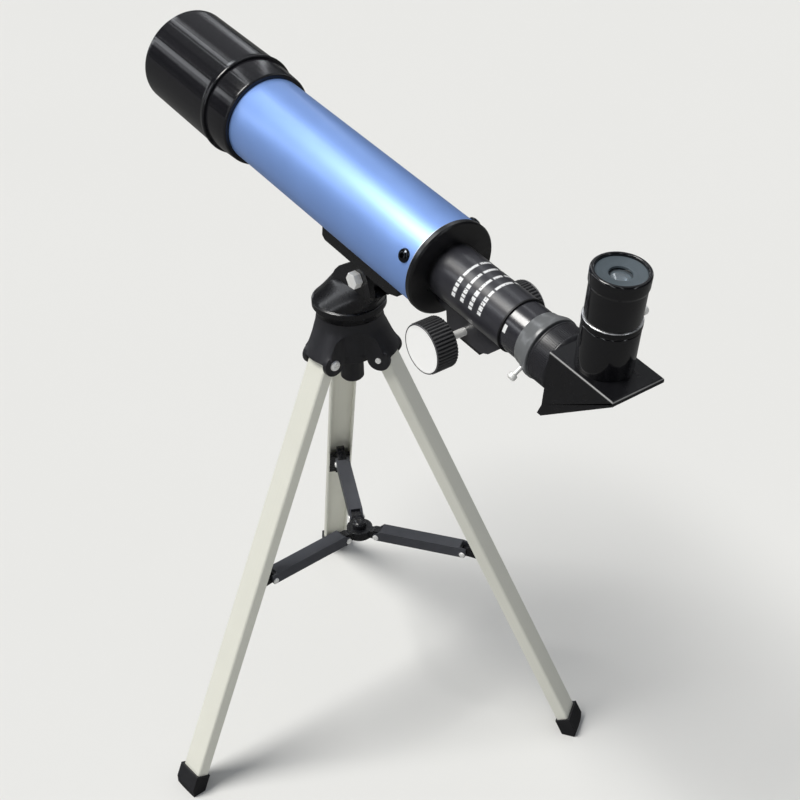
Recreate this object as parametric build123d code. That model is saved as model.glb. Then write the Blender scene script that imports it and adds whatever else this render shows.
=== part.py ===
from build123d import *
import math
import os

os.makedirs("parts", exist_ok=True)

# ---------------------------------------------------------------- driving dimensions (mm, degrees)
# Everything is drawn about the tripod's upright axis, then moved so that the origin is the
# middle of the whole thing's footprint on the ground.
FOOTPRINT_X = 36.2
FOOTPRINT_Y = -33.8
GROUND = 4.0

# Optical tube: stations run along the tube axis, plus towards the eyepiece.
TUBE_HEIGHT = 437.6
TUBE_PITCH = 7.5
TUBE_R = 30.0
TUBE_WALL = 1.2
TUBE_FRONT = -88.5
TUBE_REAR = 105.8
HOOD_FRONT = -190.3
HOOD_REAR = -110.9
HOOD_R = 34.7
HOOD_RIDGE_R = 36.2
HOOD_BORE_R = 33.2
CELL_REAR_R = 33.2
CELL_SPIGOT_FRONT = -130.0
LENS_R = 26.5
APERTURE_R = 25.0
SNUG = 0.05
HAIR = 0.02

# Focuser
FOCUSER_FLANGE_R = 31.0
FOCUSER_FLANGE_REAR = 110.0
FOCUSER_TUBE_R = 17.3
FOCUSER_TUBE_FRONT = 92.0
FOCUSER_TUBE_REAR = 173.3
DRAWTUBE_R = 16.4
DRAWTUBE_BORE_R = 15.2
DRAWTUBE_FRONT = 93.0
DRAWTUBE_REAR = 190.0
SHAFT_STATION = 136.8
SHAFT_DROP = 24.8
SHAFT_R = 2.5
GEAR_MODULE = 0.8
PINION_TEETH = 12
TOOTH_ADDENDUM = 0.48
TOOTH_DEDENDUM = 0.6
TOOTH_THICKNESS = 1.1
PRESSURE_ANGLE = 20.0
GEAR_HALF_WIDTH = 2.4
RACK_FRONT = 95.0
RACK_REAR = 154.0
RACK_HALF_WIDTH = 2.5
KNOB_FACE = 40.8
KNOB_BACK = 24.6
KNOB_R = 15.9
KNOB_DISC_R = 14.8

# Drawtube collar, diagonal and eyepiece
COLLAR_FRONT = 187.5
COLLAR_REAR = 199.6
COLLAR_R = 19.7
NOSE_R = 12.25
NOSE_RING_R = 19.0
NOSE_RING_FRONT = 200.4
DIAGONAL_FRONT = 215.9
DIAGONAL_REAR = 265.5
DIAGONAL_TOP = 17.5
DIAGONAL_BOTTOM = -27.0
DIAGONAL_HALF_WIDTH = 18.5
DIAGONAL_WALL = 2.0
EYEPIECE_STATION = 238.5
HOLDER_R = 16.1
HOLDER_TOP = 45.2
EYEPIECE_BASE = 49.2
EYEPIECE_TOP = 78.5
EYEPIECE_RIM_R = 16.3
EYEPIECE_R = 15.6

# Mount head
ALTITUDE_X = 24.5
ALTITUDE_Z = 382.0
FORK_INNER = 5.0
FORK_OUTER = 9.0
TONGUE_HALF_WIDTH = 4.9
BOLT_R = 2.95
BOLT_HOLE_R = 3.0
BOLT_FLATS = 10.0
ROTOR_BASE = 345.0
ROTOR_R = 25.0
FORK_ROOT = 371.5
CROWN_TOP = 344.7

# Legs and spreader
LEG_TURN = 33.9
LEG_COUNT = 3
LEG_PIVOT_R = 24.0
LEG_PIVOT_Z = 316.0
LEG_TILT = 24.66
LEG_WIDTH = 18.5
LEG_FACE = 5.0
LEG_DEPTH = 8.5
LEG_CORNER = 1.8
LEG_WALL = 1.2
LEG_LENGTH = 332.3
LEG_TOP_R = 5.0
LEG_BOLT_R = 2.0
EAR_INNER = 9.5
EAR_OUTER = 12.5
EAR_R = 8.0
FOOT_TOP = 327.5
FOOT_REACH = 172.0
BRACKET_PIVOT_R = 80.4
BRACKET_PIVOT_Z = 156.0
BRACKET_HALF_WIDTH = 3.1
HUB_PIVOT_R = 14.3
HUB_PIVOT_Z = 155.0
ARM_FORK_INNER = 3.5
ARM_FORK_OUTER = 5.2
ARM_END_R = 2.6
ARM_WEB_TOP = 5.7
ARM_WEB = 1.2
ARM_WEB_START = 3.4
ARM_WEB_STOP = 2.0
RIVET_R = 1.3
RIVET_HEAD_R = 2.2
RIVET_HEAD = 1.0
HUB_R = 9.5
HUB_KNOB_R = 5.0
HUB_KNOB_TOP = 163.3

TUBE_AT = Pos(0, 0, TUBE_HEIGHT) * Rot(0, TUBE_PITCH, 0)
LEG_ANGLES = [LEG_TURN + 360 / LEG_COUNT * number for number in range(LEG_COUNT)]


# ---------------------------------------------------------------- helpers
def turned_x(*profile):
    """A solid of revolution about X from (station, radius) corners."""
    return revolve(make_face(Polyline(*profile, close=True)), Axis.X)


def turned_z(*profile):
    """A solid of revolution about Z from (radius, height) corners."""
    return revolve(Plane.XZ * make_face(Polyline(*profile, close=True)), Axis.Z)


def ring_x(front, rear, outer, inner):
    """A plain ring about X between two stations."""
    return turned_x((front, inner), (rear, inner), (rear, outer), (front, outer))


def rod_x(front, rear, radius):
    """A plain cylinder about X between two stations."""
    return turned_x((front, 0), (rear, 0), (rear, radius), (front, radius))


def rod_z(low, high, radius):
    """A plain cylinder about Z between two heights."""
    return turned_z((0, low), (radius, low), (radius, high), (0, high))


def rod_y(low, high, radius):
    """A plain cylinder about Y between two offsets."""
    return Rot(-90, 0, 0) * rod_z(low, high, radius)


def block(x_low, x_high, y_low, y_high, z_low, z_high):
    """A box between its limits."""
    size = (x_high - x_low, y_high - y_low, z_high - z_low)
    middle = ((x_low + x_high) / 2, (y_low + y_high) / 2, (z_low + z_high) / 2)
    return Pos(*middle) * Box(*size)


def slab_y(half_width, *corners):
    """A side-view outline in X and Z, as thick as twice half_width."""
    face = Plane.XZ * make_face(Polyline(*corners, close=True))
    return extrude(face, amount=half_width, both=True)


def plates_y(inner, outer, *corners):
    """Two equal plates from one side-view outline, either side of Y zero."""
    return slab_y(outer, *corners) - slab_y(inner, *corners)


def hexagon_z(low, high, flats):
    """A hexagonal prism about Z."""
    outline = RegularPolygon(radius=flats / 2, side_count=6, major_radius=False)
    return Pos(0, 0, low) * extrude(outline, amount=high - low)


def save(name, shape):
    """Write one piece to its own file."""
    export_step(Pos(-FOOTPRINT_X, -FOOTPRINT_Y, -GROUND) * shape, f"parts/{name}.step")


def save_tube(name, shape):
    """Write one piece drawn in tube stations."""
    save(name, TUBE_AT * shape)


# ---------------------------------------------------------------- objective end
def dew_hood():
    ridge_start = HOOD_REAR - 5.0
    return turned_x(
        (HOOD_FRONT, HOOD_BORE_R),
        (HOOD_FRONT, HOOD_R - 0.6),
        (HOOD_FRONT + 0.6, HOOD_R),
        (ridge_start, HOOD_R + 0.4),
        (HOOD_REAR - 1.0, HOOD_RIDGE_R),
        (HOOD_REAR, HOOD_RIDGE_R - 0.6),
        (HOOD_REAR, HOOD_BORE_R),
    )


LENS_SEAT = -110.6
FLINT_EDGE = 6.0
CROWN_EDGE = 3.2
FRONT_SAG = 1.6
INNER_SAG = 2.2


def objective_cell():
    spigot = HOOD_BORE_R - SNUG
    return turned_x(
        (CELL_SPIGOT_FRONT, LENS_R + SNUG),
        (CELL_SPIGOT_FRONT, spigot),
        (HOOD_REAR, spigot),
        (HOOD_REAR, HOOD_R - 0.3),
        (TUBE_FRONT - 0.8, CELL_REAR_R),
        (TUBE_FRONT, CELL_REAR_R - 0.8),
        (TUBE_FRONT, TUBE_R - TUBE_WALL - SNUG),
        (TUBE_FRONT + 14.0, TUBE_R - TUBE_WALL - SNUG),
        (TUBE_FRONT + 14.0, APERTURE_R + 1.5),
        (LENS_SEAT + 3.0, APERTURE_R),
        (LENS_SEAT, APERTURE_R),
        (LENS_SEAT, LENS_R + SNUG),
    )


def lens_face(station, sag, radius):
    """Half the outline of one lens face, from its pole to its edge."""
    if sag == 0:
        return Line((station, 0), (station, radius))
    pole = station + sag
    return ThreePointArc((pole, 0), (pole - sag / 4, radius / 2), (station, radius))


def lens_x(front, front_sag, rear, rear_sag, radius):
    """A lens about X; stations are at its edge, a positive sag moves a pole to the rear."""
    front_face = lens_face(front, front_sag, radius)
    edge = Line((front, radius), (rear, radius))
    rear_face = lens_face(rear, rear_sag, radius)
    axis = Line((rear + rear_sag, 0), (front + front_sag, 0))
    return revolve(make_face([front_face, edge, rear_face, axis]), Axis.X)


def save_objective():
    save_tube("dew_hood", dew_hood())
    save_tube("objective_cell", objective_cell())
    flint_front = LENS_SEAT - FLINT_EDGE
    crown_rear = flint_front
    crown_front = crown_rear - CROWN_EDGE
    save_tube("flint_lens", lens_x(flint_front, INNER_SAG, LENS_SEAT, 0, LENS_R))
    save_tube("crown_lens", lens_x(crown_front, -FRONT_SAG, crown_rear, INNER_SAG, LENS_R))
    ring = ring_x(crown_front - 4.5, crown_front - 0.12, LENS_R, APERTURE_R + 0.6)
    slots = block(crown_front - 4.5, crown_front - 3.0, -LENS_R, LENS_R, -1.0, 1.0)
    save_tube("lens_retaining_ring", ring - slots)


# ---------------------------------------------------------------- tube, baffle and its screws
CELL_SCREW_STATION = 98.5
CELL_SCREW_COUNT = 3
CELL_SCREW_START = 154.3
CELL_SCREW_R = 1.5
CELL_SCREW_HEAD_R = 4.5
CELL_SCREW_HEAD = 2.3
SHOE_SCREW_STATIONS = (6.0, 60.0)
SHOE_SCREW_R = 1.9
SHOE_BOTTOM = -40.7


def cell_screw(number):
    turn = CELL_SCREW_START + 360 / CELL_SCREW_COUNT * number - 90
    shank = rod_z(26.5, TUBE_R, CELL_SCREW_R)
    head = turned_z(
        (0, TUBE_R),
        (CELL_SCREW_HEAD_R, TUBE_R),
        (CELL_SCREW_HEAD_R, TUBE_R + 0.9),
        (CELL_SCREW_HEAD_R - 1.6, TUBE_R + CELL_SCREW_HEAD),
        (0, TUBE_R + CELL_SCREW_HEAD),
    )
    return Pos(CELL_SCREW_STATION, 0, 0) * Rot(turn, 0, 0) * (shank + head)


def save_tube_pieces():
    tube = ring_x(TUBE_FRONT, TUBE_REAR, TUBE_R, TUBE_R - TUBE_WALL)
    screws = []
    for number in range(CELL_SCREW_COUNT):
        screw = cell_screw(number)
        tube = tube - screw
        screws.append(screw)
    shoe_screws = []
    shoe_nuts = []
    for station in SHOE_SCREW_STATIONS:
        tube = tube - Pos(station, 0, 0) * rod_z(-TUBE_R - 1, -TUBE_R + 3, SHOE_SCREW_R)
        shank = rod_z(-37.2, -24.4, SHOE_SCREW_R)
        head = rod_z(-40.2, -37.2, 3.4)
        nut = hexagon_z(-28.4, -25.2, 7.0) - rod_z(-29.0, -24.0, SHOE_SCREW_R)
        shoe_screws.append(Pos(station, 0, 0) * (shank + head))
        shoe_nuts.append(Pos(station, 0, 0) * nut)
    save_tube("main_tube", tube)
    save_tube("cell_screws", Compound(children=screws))
    save_tube("shoe_screws", Compound(children=shoe_screws))
    save_tube("shoe_nuts", Compound(children=shoe_nuts))
    baffle_r = TUBE_R - TUBE_WALL
    baffle = turned_x(
        (-30.0, baffle_r),
        (-30.0, 19.0),
        (-29.0, 19.0),
        (-29.0, baffle_r - 1.0),
        (-22.0, baffle_r - 1.0),
        (-22.0, baffle_r),
    )
    save_tube("tube_baffle", baffle)


def tube_shoe():
    shoe = slab_y(
        12.0,
        (-5.0, -26.0),
        (-5.0, -38.5),
        (-2.0, SHOE_BOTTOM),
        (66.0, SHOE_BOTTOM),
        (76.0, -37.0),
        (76.0, -26.0),
    )
    pitch = math.radians(TUBE_PITCH)
    drop = ALTITUDE_Z - TUBE_HEIGHT
    pivot_x = ALTITUDE_X * math.cos(pitch) - drop * math.sin(pitch)
    pivot_z = ALTITUDE_X * math.sin(pitch) + drop * math.cos(pitch)
    tongue = slab_y(
        TONGUE_HALF_WIDTH,
        (pivot_x - 11.0, SHOE_BOTTOM + 0.5),
        (pivot_x - 11.0, SHOE_BOTTOM),
        (pivot_x - 9.6, pivot_z - 1.5),
        (pivot_x + 9.6, pivot_z - 1.5),
        (pivot_x + 11.0, SHOE_BOTTOM),
        (pivot_x + 11.0, SHOE_BOTTOM + 0.5),
    )
    end = Pos(pivot_x, 0, pivot_z) * rod_y(-TONGUE_HALF_WIDTH, TONGUE_HALF_WIDTH, 9.8)
    shoe = shoe + tongue + end
    shoe = shoe - Pos(pivot_x, 0, pivot_z) * rod_y(-20, 20, BOLT_HOLE_R)
    for station in SHOE_SCREW_STATIONS:
        hole = rod_z(-50.0, -20.0, SHOE_SCREW_R)
        counterbore = rod_z(-50.0, -37.2, 3.6)
        shoe = shoe - Pos(station, 0, 0) * (hole + counterbore)
    return shoe - rod_x(-20.0, 90.0, TUBE_R)


# ---------------------------------------------------------------- focuser
HOUSING_HALF_WIDTH = 9.0
HOUSING_FLOOR = -30.5
COVER_BOTTOM = -32.3
COVER_FRONT = 121.0
COVER_REAR = 152.0
COVER_SCREW_STATIONS = (124.5, 148.5)
KEYWAY_HALF_WIDTH = 3.1


def focuser_body():
    spigot_r = TUBE_R - TUBE_WALL - SNUG
    cup = turned_x(
        (90.0, spigot_r - 2.6),
        (90.0, spigot_r),
        (TUBE_REAR, spigot_r),
        (TUBE_REAR, FOCUSER_FLANGE_R - 0.3),
        (TUBE_REAR + 0.3, FOCUSER_FLANGE_R),
        (FOCUSER_FLANGE_REAR - 1.0, FOCUSER_FLANGE_R),
        (FOCUSER_FLANGE_REAR, FOCUSER_FLANGE_R - 1.0),
        (FOCUSER_FLANGE_REAR, FOCUSER_TUBE_R - 1.0),
        (TUBE_REAR, FOCUSER_TUBE_R - 1.0),
        (TUBE_REAR, spigot_r - 2.6),
    )
    barrel = rod_x(FOCUSER_TUBE_FRONT, FOCUSER_TUBE_REAR, FOCUSER_TUBE_R)
    housing = slab_y(
        HOUSING_HALF_WIDTH,
        (FOCUSER_FLANGE_REAR - 1.0, -10.0),
        (FOCUSER_FLANGE_REAR - 1.0, -19.0),
        (119.0, -20.5),
        (COVER_FRONT, HOUSING_FLOOR),
        (COVER_REAR, HOUSING_FLOOR),
        (159.0, -27.0),
        (169.0, -16.0),
        (169.0, -10.0),
    )
    body = cup + barrel + housing
    body = body - rod_x(FOCUSER_TUBE_FRONT - 5, FOCUSER_TUBE_REAR + 5, DRAWTUBE_R + SNUG)
    keyway = block(FOCUSER_TUBE_FRONT - 5, FOCUSER_TUBE_REAR + 5,
                   -KEYWAY_HALF_WIDTH, KEYWAY_HALF_WIDTH, -20.8, 0)
    gear_room = block(SHAFT_STATION - 7.0, SHAFT_STATION + 7.0,
                      -KEYWAY_HALF_WIDTH, KEYWAY_HALF_WIDTH, -40, 0)
    bore = Pos(SHAFT_STATION, 0, -SHAFT_DROP) * rod_y(-20, 20, SHAFT_R + SNUG)
    body = body - keyway - gear_room - bore
    for station in COVER_SCREW_STATIONS:
        body = body - Pos(station, 0, 0) * rod_z(-31.0, -24.0, 1.2)
    for number in range(CELL_SCREW_COUNT):
        body = body - cell_screw(number)
    return body


def cover_screw(station):
    shank = rod_z(-31.4, -25.0, 1.2)
    head = rod_z(COVER_BOTTOM, -31.4, 2.2)
    return Pos(station, 0, 0) * (shank + head)


def involute_angle(radius, base_r):
    """Roll angle of an involute at a radius, in radians."""
    pressure = math.acos(base_r / radius)
    return math.tan(pressure) - pressure


def pinion_teeth():
    pitch_r = GEAR_MODULE * PINION_TEETH / 2
    base_r = pitch_r * math.cos(math.radians(PRESSURE_ANGLE))
    tip_r = pitch_r + TOOTH_ADDENDUM
    root_r = pitch_r - TOOTH_DEDENDUM
    half_angle = TOOTH_THICKNESS / 2 / pitch_r
    flank_steps = 5
    corners = []
    for tooth in range(PINION_TEETH):
        centre = math.pi / 2 + 2 * math.pi * tooth / PINION_TEETH
        flank = [(root_r, half_angle + involute_angle(pitch_r, base_r))]
        for step in range(flank_steps + 1):
            radius = base_r + (tip_r - base_r) * step / flank_steps
            spread = involute_angle(pitch_r, base_r) - involute_angle(radius, base_r)
            flank.append((radius, half_angle + spread))
        for radius, angle in flank:
            corners.append((radius * math.cos(centre - angle), radius * math.sin(centre - angle)))
        for radius, angle in reversed(flank):
            corners.append((radius * math.cos(centre + angle), radius * math.sin(centre + angle)))
    return slab_y(GEAR_HALF_WIDTH, *corners)


def focus_rack():
    pitch = math.pi * GEAR_MODULE
    pitch_line = -SHAFT_DROP + GEAR_MODULE * PINION_TEETH / 2
    root_line = pitch_line + TOOTH_DEDENDUM
    tip_line = pitch_line - TOOTH_ADDENDUM
    slope = math.tan(math.radians(PRESSURE_ANGLE))
    root_half = TOOTH_THICKNESS / 2 + TOOTH_DEDENDUM * slope
    tip_half = TOOTH_THICKNESS / 2 - TOOTH_ADDENDUM * slope
    first = math.ceil((RACK_FRONT + root_half - SHAFT_STATION) / pitch - 0.5)
    last = math.floor((RACK_REAR - root_half - SHAFT_STATION) / pitch - 0.5)
    corners = [(RACK_FRONT, -DRAWTUBE_BORE_R), (RACK_FRONT, root_line)]
    for number in range(first, last + 1):
        middle = SHAFT_STATION + (number + 0.5) * pitch
        corners.append((middle - root_half, root_line))
        corners.append((middle - tip_half, tip_line))
        corners.append((middle + tip_half, tip_line))
        corners.append((middle + root_half, root_line))
    corners.append((RACK_REAR, root_line))
    corners.append((RACK_REAR, -DRAWTUBE_BORE_R))
    return slab_y(RACK_HALF_WIDTH, *corners)


def knob(side):
    """One focus knob and its face disc; side is plus one for the far one."""
    grip = turned_z(
        (SHAFT_R, KNOB_BACK - 4.0),
        (5.0, KNOB_BACK - 4.0),
        (5.5, KNOB_BACK - 0.2),
        (KNOB_R - 1.5, KNOB_BACK),
        (KNOB_R, KNOB_BACK + 1.5),
        (KNOB_R, KNOB_FACE - 0.8),
        (KNOB_R - 0.6, KNOB_FACE),
        (KNOB_DISC_R, KNOB_FACE),
        (KNOB_DISC_R, KNOB_FACE - 1.2),
        (SHAFT_R, KNOB_FACE - 1.2),
    )
    disc = rod_z(KNOB_FACE - 1.2, KNOB_FACE - 0.2, KNOB_DISC_R)
    place = Pos(SHAFT_STATION, 0, -SHAFT_DROP) * Rot(-90 * side, 0, 0)
    return place * grip, place * disc


def save_focuser():
    save_tube("focuser_body", focuser_body())
    end_ring = ring_x(FOCUSER_TUBE_REAR, FOCUSER_TUBE_REAR + 1.2, FOCUSER_TUBE_R + 0.3,
                      DRAWTUBE_R + SNUG)
    gap = block(FOCUSER_TUBE_REAR - 1, FOCUSER_TUBE_REAR + 5,
                -KEYWAY_HALF_WIDTH, KEYWAY_HALF_WIDTH, -20.8, 0)
    save_tube("focuser_end_ring", end_ring - gap)
    cover = block(COVER_FRONT, COVER_REAR, -HOUSING_HALF_WIDTH, HOUSING_HALF_WIDTH,
                  COVER_BOTTOM, HOUSING_FLOOR)
    screws = [cover_screw(station) for station in COVER_SCREW_STATIONS]
    for screw in screws:
        cover = cover - screw
    save_tube("pinion_cover", cover)
    save_tube("pinion_cover_screws", Compound(children=screws))
    rack = focus_rack()
    tube = ring_x(DRAWTUBE_FRONT, DRAWTUBE_REAR, DRAWTUBE_R, DRAWTUBE_BORE_R)
    slot = block(RACK_FRONT, RACK_REAR, -RACK_HALF_WIDTH, RACK_HALF_WIDTH, -30, -5)
    save_tube("drawtube", tube - slot)
    save_tube("focus_rack", rack)
    shaft = rod_y(-KNOB_FACE + 1.2, KNOB_FACE - 1.2, SHAFT_R) + pinion_teeth()
    save_tube("pinion_shaft", Pos(SHAFT_STATION, 0, -SHAFT_DROP) * shaft)
    near_grip, near_disc = knob(-1)
    far_grip, far_disc = knob(1)
    save_tube("focus_knob_near", near_grip)
    save_tube("focus_knob_far", far_grip)
    save_tube("knob_discs", Compound(children=[near_disc, far_disc]))


# ---------------------------------------------------------------- drawtube collar and thumbscrews
COLLAR_SCREW_STATION = 193.6
COLLAR_SCREW_TURN = 122.0
THUMB_SHANK_R = 1.4


def thumbscrew(tip, head_base):
    """A small thumbscrew along Z from its tip to past its head."""
    return rod_z(tip, head_base, THUMB_SHANK_R) + turned_z(
        (0, head_base),
        (2.4, head_base),
        (2.8, head_base + 0.5),
        (2.8, head_base + 2.8),
        (2.2, head_base + 3.6),
        (0, head_base + 3.6),
    )


def save_collar():
    collar = turned_x(
        (COLLAR_FRONT, 17.0),
        (COLLAR_FRONT + 3.0, 17.5),
        (COLLAR_FRONT + 8.5, COLLAR_R - 0.2),
        (COLLAR_FRONT + 9.5, COLLAR_R),
        (COLLAR_REAR, COLLAR_R),
        (COLLAR_REAR, NOSE_R + SNUG),
        (COLLAR_FRONT - 4.0, NOSE_R + SNUG),
        (COLLAR_FRONT - 4.0, DRAWTUBE_BORE_R),
        (DRAWTUBE_REAR, DRAWTUBE_BORE_R),
        (DRAWTUBE_REAR, DRAWTUBE_R),
        (COLLAR_FRONT, DRAWTUBE_R),
    )
    place = Pos(COLLAR_SCREW_STATION, 0, 0) * Rot(COLLAR_SCREW_TURN, 0, 0)
    hole = place * rod_z(NOSE_R - 2, 30, THUMB_SHANK_R + SNUG)
    save_tube("drawtube_collar", collar - hole)
    save_tube("collar_screw", place * thumbscrew(NOSE_R + 0.04, 23.8))


# ---------------------------------------------------------------- diagonal and eyepiece
NOSE_BORE_R = 10.9
HOLDER_SPIGOT_R = 14.4
EYEPIECE_SCREW_HEIGHT = 40.5
EYEPIECE_SCREW_TURN = 95.0
EYEPIECE_SCREW_HEAD = 24.5


def diagonal_pieces():
    top = DIAGONAL_TOP
    bottom = DIAGONAL_BOTTOM
    front = DIAGONAL_FRONT
    rear = DIAGONAL_REAR
    wall = DIAGONAL_WALL
    rear_low = top - 2.7
    foot_rear = front + 0.6
    outer = slab_y(DIAGONAL_HALF_WIDTH, (front, top), (rear, top), (rear, rear_low),
                   (foot_rear, bottom), (front - 2.6, bottom), (front, bottom + 7.5))
    length = math.hypot(rear - foot_rear, rear_low - bottom)
    across = wall * (rear_low - bottom) / length
    along = wall * (rear - foot_rear) / length
    cover = slab_y(DIAGONAL_HALF_WIDTH, (rear, rear_low), (foot_rear, bottom),
                   (foot_rear - across, bottom + along), (rear - across, rear_low + along))
    cover = cover & outer
    inner_half = DIAGONAL_HALF_WIDTH - wall
    hollow = slab_y(inner_half, (front + wall, top - wall), (rear + 20, top - wall),
                    (rear + 20, bottom - 20), (front + wall, bottom - 20))
    housing = outer - cover - hollow
    housing = housing - rod_x(front - 5, front + 10, NOSE_BORE_R + 0.4)
    housing = housing - Pos(EYEPIECE_STATION, 0, 0) * rod_z(0, 30, HOLDER_SPIGOT_R)
    glass_back = 2.5 * math.sqrt(2)
    half_long = 13.0
    mirror = slab_y(
        13.0,
        (EYEPIECE_STATION - half_long, -half_long),
        (EYEPIECE_STATION + half_long, half_long),
        (EYEPIECE_STATION + half_long + glass_back / 2, half_long - glass_back / 2),
        (EYEPIECE_STATION - half_long + glass_back / 2, -half_long - glass_back / 2),
    )
    pad = slab_y(
        9.0,
        (EYEPIECE_STATION - half_long + glass_back / 2, -half_long - glass_back / 2),
        (EYEPIECE_STATION + half_long + glass_back / 2, half_long - glass_back / 2),
        (EYEPIECE_STATION + 60, half_long - glass_back / 2),
        (EYEPIECE_STATION + 60, -60),
        (EYEPIECE_STATION - half_long + glass_back / 2, -60),
    )
    back = cover + (pad & outer)
    return housing, back, mirror


def save_diagonal():
    nose = turned_x(
        (179.0, NOSE_BORE_R),
        (179.0, NOSE_R - 0.3),
        (179.6, NOSE_R),
        (NOSE_RING_FRONT, NOSE_R),
        (NOSE_RING_FRONT, NOSE_RING_R - 0.5),
        (NOSE_RING_FRONT + 0.5, NOSE_RING_R),
        (DIAGONAL_FRONT - 2.0, NOSE_RING_R),
        (DIAGONAL_FRONT, NOSE_RING_R - 2.0),
        (DIAGONAL_FRONT, NOSE_BORE_R),
    )
    flats = block(DIAGONAL_FRONT - 1.5, DIAGONAL_FRONT + 5, -30, 30, DIAGONAL_TOP, 30)
    save_tube("diagonal_nose", nose - flats)
    housing, back, mirror = diagonal_pieces()
    save_tube("diagonal_housing", housing)
    save_tube("diagonal_back", back)
    save_tube("diagonal_mirror", mirror)
    holder = turned_z(
        (NOSE_R + SNUG, DIAGONAL_TOP - DIAGONAL_WALL),
        (HOLDER_SPIGOT_R, DIAGONAL_TOP - DIAGONAL_WALL),
        (HOLDER_SPIGOT_R, DIAGONAL_TOP),
        (HOLDER_R, DIAGONAL_TOP),
        (HOLDER_R, HOLDER_TOP - 0.8),
        (HOLDER_R - 0.8, HOLDER_TOP),
        (NOSE_R + SNUG, HOLDER_TOP),
    )
    seat = Pos(EYEPIECE_STATION, 0, 0)
    screw_place = Pos(0, 0, EYEPIECE_SCREW_HEIGHT) * Rot(0, 0, EYEPIECE_SCREW_TURN) * Rot(0, 90, 0)
    holder = holder - screw_place * rod_z(NOSE_R - 2, 30, THUMB_SHANK_R + SNUG)
    save_tube("eyepiece_holder", seat * holder)
    save_tube("eyepiece_screw", seat * screw_place * thumbscrew(NOSE_R + 0.04, EYEPIECE_SCREW_HEAD))


def lens_z(low, low_sag, high, high_sag, radius):
    """A lens about Z; heights are at its edge, a positive sag lifts a pole."""
    return Rot(0, -90, 0) * lens_x(low, low_sag, high, high_sag, radius)


def save_eyepiece():
    seat = Pos(EYEPIECE_STATION, 0, 0)
    barrel = turned_z(
        (11.2, 27.0),
        (NOSE_R - 0.3, 27.0),
        (NOSE_R, 27.4),
        (NOSE_R, HOLDER_TOP),
        (EYEPIECE_RIM_R - 0.7, HOLDER_TOP),
        (EYEPIECE_RIM_R, HOLDER_TOP + 0.5),
        (EYEPIECE_RIM_R, EYEPIECE_BASE - 0.4),
        (EYEPIECE_RIM_R - 0.4, EYEPIECE_BASE),
        (11.2, EYEPIECE_BASE),
    )
    save_tube("eyepiece_barrel", seat * barrel)
    body = turned_z(
        (9.0, EYEPIECE_BASE),
        (EYEPIECE_R, EYEPIECE_BASE),
        (EYEPIECE_R, EYEPIECE_BASE + 20.0),
        (EYEPIECE_RIM_R, EYEPIECE_BASE + 21.5),
        (EYEPIECE_RIM_R, EYEPIECE_TOP - 0.8),
        (EYEPIECE_RIM_R - 0.8, EYEPIECE_TOP),
        (13.9, EYEPIECE_TOP),
        (13.9, EYEPIECE_TOP - 4.0),
        (7.0, EYEPIECE_TOP - 4.0),
        (7.0, EYEPIECE_TOP - 8.0),
        (6.0, EYEPIECE_TOP - 8.0),
        (6.0, EYEPIECE_BASE + 7.0),
        (9.0, EYEPIECE_BASE + 7.0),
    )
    save_tube("eyepiece_body", seat * body)
    cap = turned_z(
        (6.3, EYEPIECE_TOP - 4.0),
        (13.9, EYEPIECE_TOP - 4.0),
        (13.9, EYEPIECE_TOP - 1.6),
        (13.0, EYEPIECE_TOP - 1.8),
        (9.5, EYEPIECE_TOP - 2.4),
        (6.3, EYEPIECE_TOP - 2.6),
    )
    save_tube("eyepiece_cap", seat * cap)
    eye = lens_z(EYEPIECE_TOP - 8.0, 0, EYEPIECE_TOP - 5.2, 1.1, 7.0)
    field = lens_z(EYEPIECE_BASE + 4.4, -1.2, EYEPIECE_BASE + 7.0, 0, 9.0)
    save_tube("eye_lens", seat * eye)
    save_tube("field_lens", seat * field)


# ---------------------------------------------------------------- mount head
NUT_TOP = 350.0
BOLT_HEAD_TOP = 297.0
BOLT_RECESS_R = 6.3
CORE_R = 17.0
BOSS_R = 8.0
BOSS_BOTTOM = 291.0
ROOM_START = 17.8
BOSS_TOP = 306.0
ARCH_CENTRE = 321.5
ARCH_R = 17.0
SKIRT_BOTTOM = 318.5
CROWN_SLOPE = ((22.5, 342.5), (23.4, 337.0), (25.4, 333.0), (28.2, 327.0), (31.0, 322.0), (33.0, 318.5))
EAR_FRONT = 30.5
ROOM_TOP = 322.0
ROOM_FRONT_TOP = 318.0


def azimuth_rotor():
    turntable = turned_z(
        (0, ROTOR_BASE),
        (ROTOR_R - 2.5, ROTOR_BASE),
        (ROTOR_R - 2.5, 349.6),
        (ROTOR_R, 350.2),
        (ROTOR_R, 354.0),
        (ROTOR_R - 0.8, 354.8),
        (0, 354.8),
    )
    round_end = Plane.XY.offset(354.8) * Circle(ROTOR_R - 0.9)
    square_end = Plane.XY.offset(FORK_ROOT) * Pos(13.85, 0) * RectangleRounded(
        47.7, 2 * FORK_OUTER, 8.8)
    neck = loft([round_end.face(), square_end.face()])
    pivot = Pos(ALTITUDE_X, 0, ALTITUDE_Z)
    outline = (
        (-6.0, FORK_ROOT - 1.0),
        (37.0, FORK_ROOT - 1.0),
        (37.5, 375.5),
        (34.2, 386.0),
        (17.0, 389.5),
        (10.0, 386.5),
        (3.0, 382.0),
        (-2.0, 377.0),
    )
    cheeks = plates_y(FORK_INNER, FORK_OUTER, *outline)
    crest = pivot * (rod_y(-FORK_OUTER, FORK_OUTER, 10.5) - rod_y(-FORK_INNER, FORK_INNER, 10.6))
    rotor = turntable + neck + cheeks + crest
    rotor = rotor - pivot * rod_y(-20, 20, BOLT_HOLE_R)
    rotor = rotor - rod_z(ROTOR_BASE - 5, 353.0, BOLT_HOLE_R)
    return rotor - hexagon_z(ROTOR_BASE - 1, NUT_TOP, BOLT_FLATS)


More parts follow.
